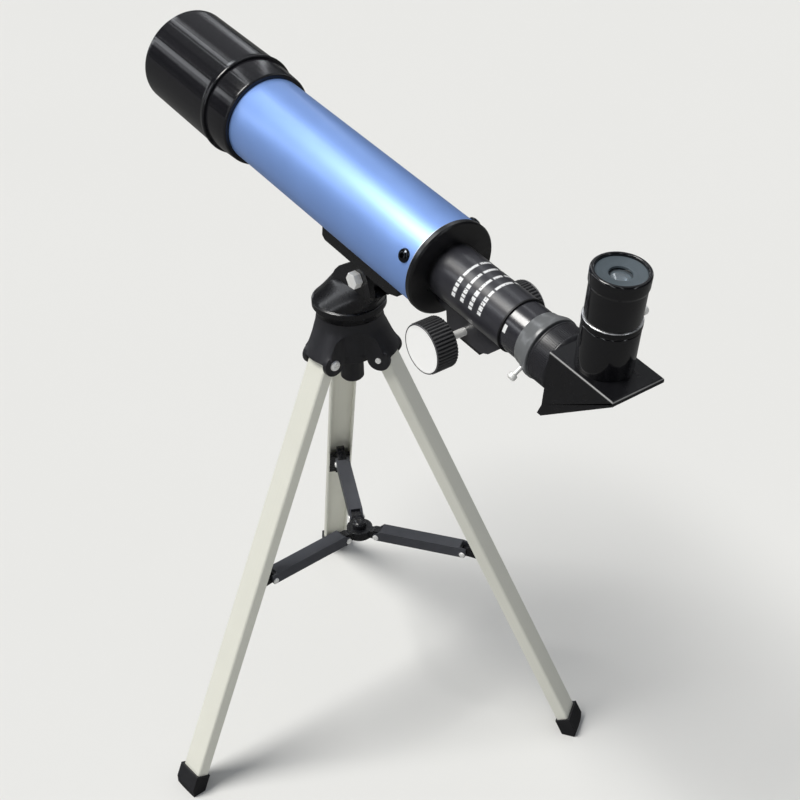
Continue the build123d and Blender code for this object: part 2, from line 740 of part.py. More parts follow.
def crown():
    """A bell with an arch cut between each two legs, and two ears for each leg's bolt."""
    body = turned_z(
        (0, CROWN_TOP),
        (CROWN_SLOPE[0][0], CROWN_TOP),
        *CROWN_SLOPE,
        (CORE_R, SKIRT_BOTTOM),
        (CORE_R, BOSS_TOP + 6.0),
        (BOSS_R, BOSS_TOP),
        (BOSS_R, BOSS_BOTTOM + 1.5),
        (BOSS_R - 1.2, BOSS_BOTTOM),
        (0, BOSS_BOTTOM),
    )
    reach = CROWN_SLOPE[-1][0] + 10.0
    arch = Pos(0, 0, ARCH_CENTRE) * rod_x(CORE_R + 1, reach, ARCH_R)
    arch = arch + block(CORE_R + 1, reach, -25.0, 25.0, BOSS_BOTTOM, ARCH_CENTRE)
    leg_slab = block(0, reach, -EAR_OUTER, EAR_OUTER, BOSS_BOTTOM, CROWN_TOP)
    for angle in LEG_ANGLES:
        opening = Rot(0, 0, angle + 180 / LEG_COUNT) * arch
        for other in LEG_ANGLES:
            opening = opening - Rot(0, 0, other) * leg_slab
        body = body - opening
    pivot = Pos(LEG_PIVOT_R, 0, LEG_PIVOT_Z)
    ears = pivot * rod_y(-EAR_OUTER, EAR_OUTER, EAR_R)
    ears = ears + block(CORE_R - 2, EAR_FRONT, -EAR_OUTER, EAR_OUTER, LEG_PIVOT_Z, SKIRT_BOTTOM + 0.5)
    room = slab_y(EAR_INNER, (ROOM_START, BOSS_BOTTOM), (reach, BOSS_BOTTOM), (reach, ROOM_FRONT_TOP),
                  (30.6, ROOM_FRONT_TOP), (28.0, ROOM_TOP), (ROOM_START, ROOM_TOP))
    pin = pivot * rod_y(-30, 30, LEG_BOLT_R + HAIR)
    for angle in LEG_ANGLES:
        body = body + Rot(0, 0, angle) * ears
    for angle in LEG_ANGLES:
        body = body - Rot(0, 0, angle) * room
        body = body - Rot(0, 0, angle) * pin
    body = body - rod_z(BOSS_BOTTOM - 5, BOLT_HEAD_TOP, BOLT_RECESS_R)
    return body - rod_z(BOLT_HEAD_TOP - 5, CROWN_TOP + 5, BOLT_R)


def save_head():
    save_tube("tube_shoe", tube_shoe())
    save("azimuth_rotor", azimuth_rotor())
    pivot = Pos(ALTITUDE_X, 0, ALTITUDE_Z)
    shank = rod_y(-FORK_OUTER, FORK_OUTER + 6.0, BOLT_R)
    head = Rot(90, 0, 0) * hexagon_z(FORK_OUTER, FORK_OUTER + 5.5, BOLT_FLATS)
    save("altitude_bolt", pivot * (shank + head))
    nut = hexagon_z(FORK_OUTER, FORK_OUTER + 5.0, BOLT_FLATS) - rod_z(0, 30, BOLT_R)
    save("altitude_nut", pivot * Rot(-90, 0, 0) * nut)
    bolt = rod_z(BOLT_HEAD_TOP, 352.0, BOLT_R)
    bolt = bolt + hexagon_z(BOLT_HEAD_TOP - 4.0, BOLT_HEAD_TOP, BOLT_FLATS)
    save("azimuth_bolt", bolt)
    captive = hexagon_z(ROTOR_BASE + 0.2, NUT_TOP, BOLT_FLATS) - rod_z(340, 360, BOLT_HOLE_R)
    save("azimuth_nut", captive)
    save("crown", crown())


# ---------------------------------------------------------------- legs and spreader
TILT = math.radians(LEG_TILT)
PIVOT_OUT = BRACKET_PIVOT_R - LEG_PIVOT_R
PIVOT_UP = BRACKET_PIVOT_Z - LEG_PIVOT_Z
LUG_X = PIVOT_OUT * math.cos(TILT) + PIVOT_UP * math.sin(TILT)
LUG_Z = -PIVOT_OUT * math.sin(TILT) + PIVOT_UP * math.cos(TILT)
ARM_LENGTH = math.hypot(BRACKET_PIVOT_R - HUB_PIVOT_R, BRACKET_PIVOT_Z - HUB_PIVOT_Z)
ARM_RISE = math.degrees(math.asin((BRACKET_PIVOT_Z - HUB_PIVOT_Z) / ARM_LENGTH))
LUG_R = 2.2
LEG_INNER = LEG_FACE - LEG_DEPTH


def leg_stock(low):
    """The outside form of a leg from a depth below its pivot, its outer corners rounded."""
    half_width = LEG_WIDTH / 2
    section = Pos(LEG_INNER, 0) * RectangleRounded(2 * LEG_DEPTH, LEG_WIDTH, LEG_CORNER)
    stock = Pos(0, 0, low) * extrude(section, amount=-low)
    return stock & block(LEG_INNER, LEG_FACE, -half_width, half_width, low, 0)


def leg_channel():
    half_width = LEG_WIDTH / 2
    stock = leg_stock(-LEG_LENGTH) + rod_y(-half_width, half_width, LEG_TOP_R)
    inside = block(-LEG_TOP_R - 1, LEG_FACE - LEG_WALL, -half_width + LEG_WALL,
                   half_width - LEG_WALL, -LEG_LENGTH - 1, LEG_TOP_R + 1)
    open_top = block(-20, 20, -half_width + LEG_WALL, half_width - LEG_WALL, 0, LEG_TOP_R + 1)
    pin = rod_y(-20, 20, LEG_BOLT_R + SNUG)
    return stock - inside - open_top - pin


def leg_foot():
    half_width = LEG_WIDTH / 2
    boot = block(LEG_INNER - 1.5, LEG_FACE + 1.8, -half_width - 1.2, half_width + 1.2,
                 -LEG_LENGTH - 30, -FOOT_TOP)
    return boot - leg_stock(-LEG_LENGTH)


def brace_bracket():
    face = LEG_INNER
    strip = block(face - 1.2, face + 1.8, -BRACKET_HALF_WIDTH, BRACKET_HALF_WIDTH,
                  LUG_Z - 33.0, LUG_Z + 5.0)
    half_inside = LEG_WIDTH / 2 - LEG_WALL
    anchor = block(face, face + 4.0, -half_inside, half_inside, LUG_Z - 33.0, LUG_Z - 9.0)
    web = slab_y(
        BRACKET_HALF_WIDTH,
        (LUG_X, LUG_Z + LUG_R),
        (LUG_X, LUG_Z - LUG_R),
        (face, LUG_Z - 9.0),
        (face, LUG_Z + 4.5),
    )
    lug = Pos(LUG_X, 0, LUG_Z) * rod_y(-BRACKET_HALF_WIDTH, BRACKET_HALF_WIDTH, LUG_R)
    hole = Pos(LUG_X, 0, LUG_Z) * rod_y(-20, 20, RIVET_R)
    return strip + anchor + web + lug - hole


def brace_arm():
    cheeks = plates_y(
        ARM_FORK_INNER,
        ARM_FORK_OUTER,
        (0, -ARM_END_R),
        (ARM_LENGTH, -ARM_END_R),
        (ARM_LENGTH + ARM_END_R, 0),
        (ARM_LENGTH + ARM_END_R, ARM_WEB_TOP - ARM_WEB),
        (ARM_LENGTH - ARM_WEB_STOP, ARM_WEB_TOP),
        (ARM_WEB_START, ARM_WEB_TOP),
        (0, ARM_END_R),
    )
    arm = cheeks + block(ARM_WEB_START, ARM_LENGTH - ARM_WEB_STOP,
                         -ARM_FORK_OUTER, ARM_FORK_OUTER, ARM_WEB_TOP - ARM_WEB, ARM_WEB_TOP)
    for station in (0, ARM_LENGTH):
        end = rod_y(-ARM_FORK_OUTER, ARM_FORK_OUTER, ARM_END_R)
        end = end - rod_y(-ARM_FORK_INNER, ARM_FORK_INNER, ARM_END_R + 1)
        arm = arm + Pos(station, 0, 0) * end
    arm = arm - rod_y(-20, 20, RIVET_R + SNUG)
    return arm - Pos(ARM_LENGTH, 0, 0) * rod_y(-20, 20, RIVET_R)


def outer_rivet(side):
    shank = rod_y(ARM_FORK_INNER, ARM_FORK_OUTER, RIVET_R)
    head = rod_y(ARM_FORK_OUTER, ARM_FORK_OUTER + RIVET_HEAD, RIVET_HEAD_R)
    return Pos(ARM_LENGTH, 0, 0) * Rot(0, 0, 90 - 90 * side) * (shank + head)


def hub_pin():
    head_start = ARM_FORK_OUTER + HAIR
    pin = rod_y(-head_start, head_start, RIVET_R)
    pin = pin + rod_y(head_start, head_start + RIVET_HEAD, RIVET_HEAD_R)
    return pin + rod_y(-head_start - RIVET_HEAD, -head_start, RIVET_HEAD_R)


def leg_bolt():
    face = EAR_OUTER + HAIR
    shank = rod_y(-EAR_OUTER - 1.0, face, LEG_BOLT_R)
    head = Rot(-90, 0, 0) * turned_z(
        (0, face),
        (3.8, face),
        (3.8, face + 1.0),
        (2.8, face + 2.2),
        (0, face + 2.2),
    )
    return shank + head


def save_legs():
    channel = leg_channel()
    foot = leg_foot()
    bracket = brace_bracket()
    arm = brace_arm()
    rivets = Compound(children=[outer_rivet(-1), outer_rivet(1)])
    standing = rod_z(GROUND, LEG_PIVOT_Z, FOOT_REACH)
    bolts = []
    pins = []
    hub = rod_z(HUB_PIVOT_Z - 3.3, HUB_PIVOT_Z + 3.3, HUB_R)
    for number, angle in enumerate(LEG_ANGLES, start=1):
        leg_at = Rot(0, 0, angle) * Pos(LEG_PIVOT_R, 0, LEG_PIVOT_Z) * Rot(0, -LEG_TILT, 0)
        arm_at = Rot(0, 0, angle) * Pos(HUB_PIVOT_R, 0, HUB_PIVOT_Z) * Rot(0, -ARM_RISE, 0)
        save(f"leg_{number}", leg_at * channel)
        save(f"foot_{number}", (leg_at * foot) & standing)
        save(f"brace_bracket_{number}", leg_at * bracket)
        save(f"brace_arm_{number}", arm_at * arm)
        save(f"arm_rivets_{number}", arm_at * rivets)
        bolts.append(Rot(0, 0, angle) * Pos(LEG_PIVOT_R, 0, LEG_PIVOT_Z) * leg_bolt())
        pin = Rot(0, 0, angle) * Pos(HUB_PIVOT_R, 0, HUB_PIVOT_Z) * hub_pin()
        pins.append(pin)
        lug = block(0, HUB_PIVOT_R, -BRACKET_HALF_WIDTH, BRACKET_HALF_WIDTH,
                    HUB_PIVOT_Z - 3.3, HUB_PIVOT_Z + 3.3)
        lug = lug + Pos(HUB_PIVOT_R, 0, HUB_PIVOT_Z) * rod_y(
            -BRACKET_HALF_WIDTH, BRACKET_HALF_WIDTH, 3.3)
        hub = hub + Rot(0, 0, angle) * lug
    for pin in pins:
        hub = hub - pin
    stud = rod_z(HUB_PIVOT_Z - 2.0, HUB_PIVOT_Z + 3.3, 2.0)
    cap = turned_z(
        (0, HUB_PIVOT_Z + 3.3),
        (HUB_KNOB_R, HUB_PIVOT_Z + 3.3),
        (HUB_KNOB_R, HUB_KNOB_TOP - 2.0),
        (HUB_KNOB_R - 1.2, HUB_KNOB_TOP - 0.6),
        (HUB_KNOB_R - 3.0, HUB_KNOB_TOP),
        (0, HUB_KNOB_TOP),
    )
    save("leg_bolts", Compound(children=bolts))
    save("hub_pins", Compound(children=pins))
    save("brace_hub", hub - stud)
    save("hub_knob", stud + cap)


save_objective()
save_tube_pieces()
save_focuser()
save_collar()
save_diagonal()
save_eyepiece()
save_head()
save_legs()
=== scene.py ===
"""Dresses the CAD frame of a small refracting telescope on a folding tabletop tripod."""
import math

import bmesh
import bpy
from mathutils import Matrix, Vector


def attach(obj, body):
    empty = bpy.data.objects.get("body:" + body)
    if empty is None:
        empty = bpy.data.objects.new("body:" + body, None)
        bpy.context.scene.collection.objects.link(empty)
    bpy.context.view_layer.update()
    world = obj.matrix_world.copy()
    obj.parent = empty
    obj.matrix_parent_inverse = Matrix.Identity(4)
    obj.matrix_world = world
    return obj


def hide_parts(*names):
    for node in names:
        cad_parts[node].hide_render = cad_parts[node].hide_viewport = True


bl_info = {
    "name": "Tabletop telescope",
    "version": (1, 1, 0),
    "blender": (4, 5, 0),
    "location": "3D View > Sidebar > Telescope",
    "description": "Builds the pieces, finishes and studio of a telescope on a tripod",
    "category": "Object",
}

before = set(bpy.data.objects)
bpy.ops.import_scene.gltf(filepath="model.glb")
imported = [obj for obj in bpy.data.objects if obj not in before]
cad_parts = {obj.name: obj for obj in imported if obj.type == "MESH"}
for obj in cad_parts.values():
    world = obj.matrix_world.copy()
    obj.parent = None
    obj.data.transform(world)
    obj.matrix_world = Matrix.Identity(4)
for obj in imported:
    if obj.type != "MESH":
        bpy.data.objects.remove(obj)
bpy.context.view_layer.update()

# ---- places, in millimetres
MM = 0.001
STOOD_UP = Matrix.Rotation(-math.pi / 2, 4, "Y")
FOOTPRINT = Vector((36.2, -33.8, 4.0))
TUBE_HEIGHT = 437.6
TUBE_PITCH = math.radians(7.5)
UPRIGHT = Matrix.Translation(-FOOTPRINT)
TUBE_AT = UPRIGHT @ Matrix.Translation((0, 0, TUBE_HEIGHT)) @ Matrix.Rotation(TUBE_PITCH, 4, "Y")
TUBE_WAY = TUBE_AT.to_3x3() @ Vector((1, 0, 0))
TUBE_UP = TUBE_AT.to_3x3() @ Vector((0, 0, 1))
ACROSS = Vector((0, 1, 0))
TUBE_CENTRE = TUBE_AT.translation * MM
EYEPIECE_STATION = 238.5
EYEPIECE_AT = (TUBE_AT @ Matrix.Translation((EYEPIECE_STATION, 0, 0))
               @ STOOD_UP)
KNOB_STATION = (136.8, 0, -24.8)
KNOB_FACE = 40.8
LEG_TURNS = [math.radians(33.9 + 120 * number) for number in range(3)]
LEG_TILT = math.radians(24.66)
LEG_PIVOT = (24, 0, 316)
ARM_PIVOT = (14.3, 0, 155)
ARM_LENGTH = 66.1076
ARM_RISE = math.asin(1 / ARM_LENGTH)
TUBE_RADIUS = 30.0
TUBE_PAINT_END = 105.0
BARREL_START = 112.0
INDEX_MARK = (175.2, 177.6)
INDEX_TURN = (2.62, 2.92)
CELL_SCREW_STATION = 98.5
CELL_SCREW_DEGREES = 154.3
COLLAR_SCREW_STATION = 193.6
COLLAR_SCREW_DEGREES = 122.0
HOLDER_SCREW_HEIGHT = 40.5
HOLDER_SCREW_DEGREES = 95
FLANGE_SIDE = (45.55, 48.8)
# The painted highlight on the diagonal: pale colour on its top's outer edges, beyond these
# distances from the tube's axis, stands in for light caught by the rounded edges.
PAINTED_EDGE_HIGHLIGHT_ACROSS = 17.9
PAINTED_EDGE_HIGHLIGHT_ALONG = 264.9
PAINTED_EDGE_HIGHLIGHT_UP = 16.9
ROTOR_RIM_HEIGHT = 352.1
ROTOR_RIM_HALF = 2.2
LEG_BOLT_FACE = 12.52
RIVET_HEAD = (2.2, 1.0, 1.3)
RIVET_FACE = 5.2
KNOB_RIB_AT = (32.7, 15.25)
KNOB_RIB = (14.0, 1.15, 1.2)
NOSE_RIB_AT = (207.4, 18.55)
NOSE_RIB = (10.2, 0.6, 0.6)
ROUNDED_UP = 17.3
ROUNDED_ACROSS = 18.3
ROUNDED_ALONG = 265.3
BOSS_HALF = 3.3


def round_tripod(turn, spot):
    """The place of something drawn outward along X at one leg's turn."""
    return UPRIGHT @ Matrix.Rotation(turn, 4, "Z") @ Matrix.Translation(spot)


# ---- what a user can change
def colour(name, description, value):
    return bpy.props.FloatVectorProperty(
        name=name, description=description, default=value, size=3, min=0, max=1, subtype="COLOR")


def distance(name, description, value):
    return bpy.props.FloatProperty(
        name=name, description=description, default=value * MM, min=0, unit="LENGTH", precision=5)


class TelescopeColours(bpy.types.PropertyGroup):
    """Colours of the finishes."""

    tube_blue: colour("Tube blue", "Metallic paint of the main tube", (0.225, 0.375, 0.790))
    black: colour(
        "Black plastic", "Gloss black of the hood, head and eyepiece", (0.0045, 0.0045, 0.0055))
    collar_grey: colour("Collar grey", "Dark grey of the drawtube collar", (0.120, 0.125, 0.130))
    nose_grey: colour(
        "Nose grey", "Grey of the ribbed ring in front of the diagonal", (0.016, 0.016, 0.019))
    cup_grey: colour("Eyecup grey", "Grey of the cap round the eye lens", (0.066, 0.084, 0.098))
    leg_silver: colour("Leg silver", "Satin paint of the legs", (0.72, 0.72, 0.65))
    arm_black: colour("Arm black", "Blue-black paint of the spreader arms", (0.040, 0.042, 0.050))
    print_white: colour("Print white", "Ink of the rings on the focuser barrel", (0.80, 0.81, 0.82))
    inlay_white: colour("Inlay white", "Discs let into the focus knobs", (0.96, 0.96, 0.95))
    floor_paper: colour("Floor paper", "Paper under and behind the tripod", (0.72, 0.72, 0.71))


class TelescopeSizes(bpy.types.PropertyGroup):
    """Sizes of the fine detail."""

    plastic_edge: distance("Plastic edge", "Rounding of moulded edges", 0.6)
    metal_edge: distance("Metal edge", "Rounding of edges of sheet and bolts", 0.3)
    knob_ribs: bpy.props.IntProperty(
        name="Knob ribs", description="Grip ribs round each focus knob", default=44, min=8, max=90)
    nose_ribs: bpy.props.IntProperty(
        name="Nose ribs", description="Fine ribs round the diagonal's ring",
        default=96, min=12, max=180)
    first_ring: distance("First ring", "Station of the first printed ring", 133.0)
    ring_step: distance("Ring step", "Distance between the printed rings", 7.6)
    ring_width: distance("Ring width", "Width of a printed ring", 3.0)


class StudioSettings(bpy.types.PropertyGroup):
    """Camera and light."""

    lens: bpy.props.FloatProperty(
        name="Lens", description="Focal length of the camera", default=67.5, min=10, unit="CAMERA")
    distance: distance("Distance", "Distance of the camera from what it aims at", 1079.2)
    key: bpy.props.FloatProperty(
        name="Key light", description="Strength of the soft key light", default=2.9, min=0)
    sky: bpy.props.FloatProperty(
        name="Sky light", description="Strength of the light from all round", default=0.34, min=0)


def settings():
    scene = bpy.context.scene
    return scene.telescope_colours, scene.telescope_sizes, scene.telescope_studio


# ---- shader maths
class Port:
    """A shader socket; arithmetic on it adds Math nodes."""

    def __init__(self, nodes, socket):
        self.nodes = nodes
        self.socket = socket

    def maths(self, operation, *values):
        return self.nodes.node("ShaderNodeMath", {"operation": operation}, dict(enumerate(values)))

    def __add__(self, other):
        return self.maths("ADD", self, other)

    def __mul__(self, other):
        return self.maths("MULTIPLY", self, other)

    def __sub__(self, other):
        return self.maths("SUBTRACT", self, other)

    def __rsub__(self, other):
        return self.maths("SUBTRACT", other, self)

    def above(self, edge, soft):
        """0 below the edge, 1 above it, over a soft width."""
        return self.nodes.node(
            "ShaderNodeMapRange",
            {"clamp": True},
            {"Value": self, "From Min": edge - soft / 2, "From Max": edge + soft / 2},
        )

    def between(self, low, high, soft):
        return self.above(low, soft) * (1 - self.above(high, soft))

    def over(self, other):
        """The greater of two masks."""
        return self.maths("MAXIMUM", self, other)


class Nodes:
    """A node tree and the ways to add to it."""

    def __init__(self, tree):
        self.tree = tree

    def node(self, kind, settings=None, values=None, output=0):
        made = self.tree.nodes.new(kind)
        for key, value in (settings or {}).items():
            setattr(made, key, value)
        for key, value in (values or {}).items():
            if isinstance(value, Port):
                self.tree.links.new(value.socket, made.inputs[key])
            else:
                made.inputs[key].default_value = value
        return Port(self, made.outputs[output])

    def reach(self, vector, way):
        """How far a vector goes along a direction."""
        return self.node(
            "ShaderNodeVectorMath", {"operation": "DOT_PRODUCT"}, {0: vector, 1: way}, "Value")

    def colours(self, factor, low, high):
        low = low if isinstance(low, Port) else (*low, 1)
        high = high if isinstance(high, Port) else (*high, 1)
        return self.node("ShaderNodeMix", {"data_type": "RGBA"}, {0: factor, 6: low, 7: high}, 2)

    def range_of(self, port, low, high):
        return self.node(
            "ShaderNodeMapRange", {"clamp": True}, {"Value": port, "To Min": low, "To Max": high})


class Finish(Nodes):
    """One material and the nodes that make its colour, gloss and texture."""

    def __init__(self, name, **constants):
        self.material = bpy.data.materials.new(name)
        self.material.use_nodes = True
        super().__init__(self.material.node_tree)
        self.shader = self.tree.nodes["Principled BSDF"]
        for socket, value in constants.items():
            self.shader.inputs[socket.replace("_", " ")].default_value = value

    def feed(self, **ports):
        for socket, port in ports.items():
            self.tree.links.new(port.socket, self.shader.inputs[socket.replace("_", " ")])
        return self

    def place(self):
        return self.node("ShaderNodeTexCoord", output="Object")

    def along(self, way, start):
        """Millimetres from a point along a direction."""
        moved = self.node(
            "ShaderNodeVectorMath", {"operation": "SUBTRACT"}, {0: self.place(), 1: start})
        return self.reach(moved, way) * (1 / MM)

    def turn_about_tube(self):
        return self.along(TUBE_UP, TUBE_CENTRE).maths(
            "ARCTAN2", self.along(TUBE_UP, TUBE_CENTRE), self.along(ACROSS, TUBE_CENTRE))

    def noise(self, size, detail=2.0, where=None, stretch=None):
        """Soft noise whose features are about size millimetres across."""
        where = where or self.place()
        if stretch:
            where = self.node("ShaderNodeMapping", None, {"Vector": where, "Scale": stretch})
        return self.node(
            "ShaderNodeTexNoise",
            None,
            {"Vector": where, "Scale": 1 / (size * MM), "Detail": detail},
        )

    def bump(self, height, depth, strength=1.0):
        return self.node(
            "ShaderNodeBump", None,
            {"Height": height, "Distance": depth * MM, "Strength": strength})


def lighter(tone, share):
    return tuple(min(1.0, value * share) for value in tone)


def moulded(name, tone, spread=1.4, gloss=(0.16, 0.26), grain=0.7, depth=0.006, coat=0.0):
    """Moulded plastic: slight clouding of its colour and gloss, and a fine grain."""
    made = Finish(name, IOR=1.47, Coat_Roughness=0.08, Coat_Weight=coat)
    return made.feed(
        Base_Color=made.colours(made.noise(9.0, 3.0), tone, lighter(tone, spread)),
        Roughness=made.range_of(made.noise(3.0, 4.0), *gloss),
        Normal=made.bump(made.noise(grain, 2.0), depth),
    )


def plated(name, tone, spread=1.2, gloss=(0.16, 0.30), grain=0.6, depth=0.006, metal=1.0):
    """Plated or bare metal with faint handling marks."""
    made = Finish(name, Metallic=metal)
    return made.feed(
        Base_Color=made.colours(made.noise(3.0, 4.0), tone, lighter(tone, spread)),
        Roughness=made.range_of(made.noise(1.2, 4.0), *gloss),
        Normal=made.bump(made.noise(grain, 2.0), depth),
    )


def hood_gloss(name, tone):
    """Gloss black with faint draw lines that run along the tube; the lines are also painted paler
    into its colour as painted reflection streaks.
    """
    made = Finish(name, IOR=1.5)
    turn = made.turn_about_tube()
    lines = made.node(
        "ShaderNodeTexNoise", {"noise_dimensions": "1D"}, {"W": turn * 3.0, "Detail": 5.0})
    fine = made.noise(1.0, 3.0)
    return made.feed(
        # Partly painted reflection: the paler streaks in the colour stand in for reflected light,
        # and partly follow the draw lines.
        Base_Color=made.colours(lines, tone, lighter(tone, 1.6)),
        Roughness=made.range_of(lines * 0.7 + fine * 0.3, 0.06, 0.26),
        Normal=made.bump(lines, 0.12),
    )


def tube_paint(tone):
    """Blue metallic paint under a clear coat, bare metal at the tube's cut rear edge."""
    made = Finish("blue_tube_paint", Coat_Roughness=0.2, Coat_Weight=0.2)
    bare = made.along(TUBE_WAY, TUBE_CENTRE).above(TUBE_PAINT_END, 0.2)
    flake = made.noise(0.35, 1.0)
    shade = made.noise(35.0, 2.0) * 0.6 + flake * 0.4
    metal = made.colours(flake, (0.70, 0.74, 0.80), (0.86, 0.88, 0.92))
    return made.feed(
        Base_Color=made.colours(bare, made.colours(shade, tone, lighter(tone, 1.32)), metal),
        Metallic=made.range_of(bare, 0.55, 1.0),
        Roughness=made.range_of(flake, 0.40, 0.50),
        Normal=made.bump(flake, 0.004),
    )


# Where each mark starts and ends round the tube, in radians, ring by ring.
RING_MARKS = (
    ((0.66, 0.90), (1.00, 1.50), (1.58, 2.24), (2.32, 2.50),
     (2.55, 2.66), (2.70, 2.86), (2.90, 3.04)),
    ((0.60, 0.98), (1.08, 1.72), (1.80, 2.28), (2.34, 2.48),
     (2.52, 2.68), (2.72, 2.82), (2.86, 3.00)),
    ((0.54, 1.18), (1.28, 1.66), (1.74, 2.28), (2.33, 2.52),
     (2.57, 2.72), (2.76, 2.88), (2.92, 3.02)),
    ((0.70, 1.08), (1.18, 1.94), (2.02, 2.26), (2.32, 2.46),
     (2.50, 2.62), (2.66, 2.82), (2.86, 2.98)),
)
NEAR_MARKS = 2.3


def barrel_finish(tone, white, sizes):
    """Satin dark barrel with four broken printed rings, thickest on the near side."""
    made = Finish("focuser_barrel_gloss", IOR=1.5, Coat_Weight=0.5, Coat_Roughness=0.26)
    station = made.along(TUBE_WAY, TUBE_CENTRE)
    turn = made.turn_about_tube()
    wear_and_painted_highlight = made.noise(1.1, 3.0).above(0.36, 0.16)
    ink = station * 0.0
    for number, marks in enumerate(RING_MARKS):
        middle = (sizes.first_ring + sizes.ring_step * number) / MM
        half = sizes.ring_width / MM / 2
        thick = station.between(middle - half, middle + half, 0.3)
        thin = station.between(middle - half * 0.62, middle + half * 0.62, 0.5)
        for low, high in marks:
            ink = ink.over((thick if low > NEAR_MARKS else thin) * turn.between(low, high, 0.03))
    ink = ink * wear_and_painted_highlight
    cloud = made.noise(8.0, 3.0)
    flange = lighter(tone, 0.2)
    painted = made.colours(cloud, tone, lighter(tone, 1.5))
    body = made.colours(station.above(BARREL_START, 2.0), flange, painted)
    return made.feed(
        Base_Color=made.colours(ink, body, made.colours(cloud, white, lighter(white, 1.08))),
        Roughness=made.range_of(made.noise(2.0, 4.0), 0.24, 0.36),
        Normal=made.bump(made.noise(0.6, 2.0), 0.005),
    )


def drawtube_finish(tone, white):
    """Gloss black drawtube with one white index mark."""
    made = Finish("drawtube_gloss", IOR=1.5, Coat_Weight=0.5, Coat_Roughness=0.22)
    station = made.along(TUBE_WAY, TUBE_CENTRE)
    mark = station.between(*INDEX_MARK, 0.2)
    mark = mark * made.turn_about_tube().between(*INDEX_TURN, 0.03)
    cloud = made.noise(8.0, 3.0)
    return made.feed(
        Base_Color=made.colours(mark, made.colours(cloud, tone, lighter(tone, 1.5)), white),
        Roughness=made.range_of(made.noise(2.0, 4.0), 0.14, 0.26),
        Normal=made.bump(made.noise(0.6, 2.0), 0.005),
    )


def leg_paint(tone):
    """Satin silver on drawn aluminium, with faint draw lines along each leg."""
    made = Finish("leg_satin_silver", Metallic=0.12, Coat_Weight=0.12, Coat_Roughness=0.25)
    lengthways = made.node("ShaderNodeUVMap", {"uv_map": "lengthways"})
    lines = made.noise(1000.0, 4.0, lengthways, (3, 900, 1))
    shade = made.noise(25.0, 3.0) * 0.5 + lines * 0.5
    return made.feed(
        Base_Color=made.colours(shade, tone, lighter(tone, 1.14)),
        Roughness=made.range_of(lines, 0.34, 0.50),
        Normal=made.bump(lines, 0.010),
    )


def diagonal_finish(tone):
    """Satin black, with a painted highlight: pale colour along the outer edges of its top stands in
    for light caught by the rounded edges.
    """
    made = moulded("diagonal_satin_black", tone, 1.5, (0.24, 0.34), 0.8, 0.004)
    across = made.along(ACROSS, TUBE_CENTRE)
    outer = across.maths("ABSOLUTE", across).above(PAINTED_EDGE_HIGHLIGHT_ACROSS, 0.5)
    outer = outer.over(made.along(TUBE_WAY, TUBE_CENTRE).above(PAINTED_EDGE_HIGHLIGHT_ALONG, 0.5))
    edge = outer * made.along(TUBE_UP, TUBE_CENTRE).above(PAINTED_EDGE_HIGHLIGHT_UP, 0.5)
    cloud = made.noise(9.0, 3.0)
    body = made.colours(cloud, tone, lighter(tone, 1.5))
    # Painted highlight: this pale colour on the top's outer edges stands in for light caught by the
    # rounded edges.
    wear_and_painted_highlight = made.colours(cloud, (0.30,) * 3, (0.42,) * 3)
    return made.feed(Base_Color=made.colours(edge, body, wear_and_painted_highlight))


def knob_grip(tone):
    """Ribbed black grip with a painted highlight: a paler line round the rim of its face."""
    made = moulded("knob_grip_black", tone, 1.5, (0.28, 0.42), 0.5, 0.02)
    out = made.along(ACROSS, TUBE_CENTRE).maths("ABSOLUTE", made.along(ACROSS, TUBE_CENTRE))
    # Painted highlight: the paler line round the face's rim stands in for light caught by its
    # rounded edge.
    rim = out.between(KNOB_FACE - 0.75, KNOB_FACE - 0.15, 0.2)
    cloud = made.noise(6.0, 3.0)
    body = made.colours(cloud, tone, lighter(tone, 1.5))
    return made.feed(Base_Color=made.colours(rim * 0.8, body, (0.16, 0.16, 0.17)))


def knob_inlay(tone):
    """White inlay of the focus knobs, faintly clouded."""
    made = Finish("knob_white_inlay", IOR=1.5, Coat_Weight=0.3, Coat_Roughness=0.1)
    return made.feed(
        Base_Color=made.colours(made.noise(6.0, 3.0), tone, lighter(tone, 1.06)),
        Roughness=made.range_of(made.noise(1.5, 4.0), 0.28, 0.40),
        Normal=made.bump(made.noise(0.8, 2.0), 0.005),
    )


def flange_finish(black):
    """Bright plating, blackened round the flange that rests on the holder."""
    made = Finish("eyepiece_flange")
    height = made.along(TUBE_UP, TUBE_CENTRE)
    side = height.between(*FLANGE_SIDE, 0.12)
    wear = made.noise(2.0, 4.0)
    bright = made.colours(wear, (0.78, 0.78, 0.78), (0.92, 0.92, 0.92))
    return made.feed(
        Base_Color=made.colours(side, bright, black),
        Metallic=1 - side,
        Roughness=made.range_of(wear, 0.26, 0.32),
        Normal=made.bump(made.noise(0.6, 2.0), 0.002),
    )


def lens_coating(name, tint):
    """Coated glass: clear, with a faint coloured bloom."""
    made = Finish(name, Transmission_Weight=0.85, IOR=1.52, Coat_Weight=1.0, Coat_Roughness=0.02)
    return made.feed(
        Base_Color=made.colours(made.noise(12.0, 1.0), tint, lighter(tint, 1.1)),
        Roughness=made.range_of(made.noise(6.0, 2.0), 0.01, 0.03),
    )


def silvering():
    made = Finish("mirror_silver", Metallic=1.0)
    return made.feed(
        Base_Color=made.colours(made.noise(10.0), (0.84, 0.85, 0.87), (0.90, 0.90, 0.92)),
        Roughness=made.range_of(made.noise(5.0), 0.02, 0.05),
    )


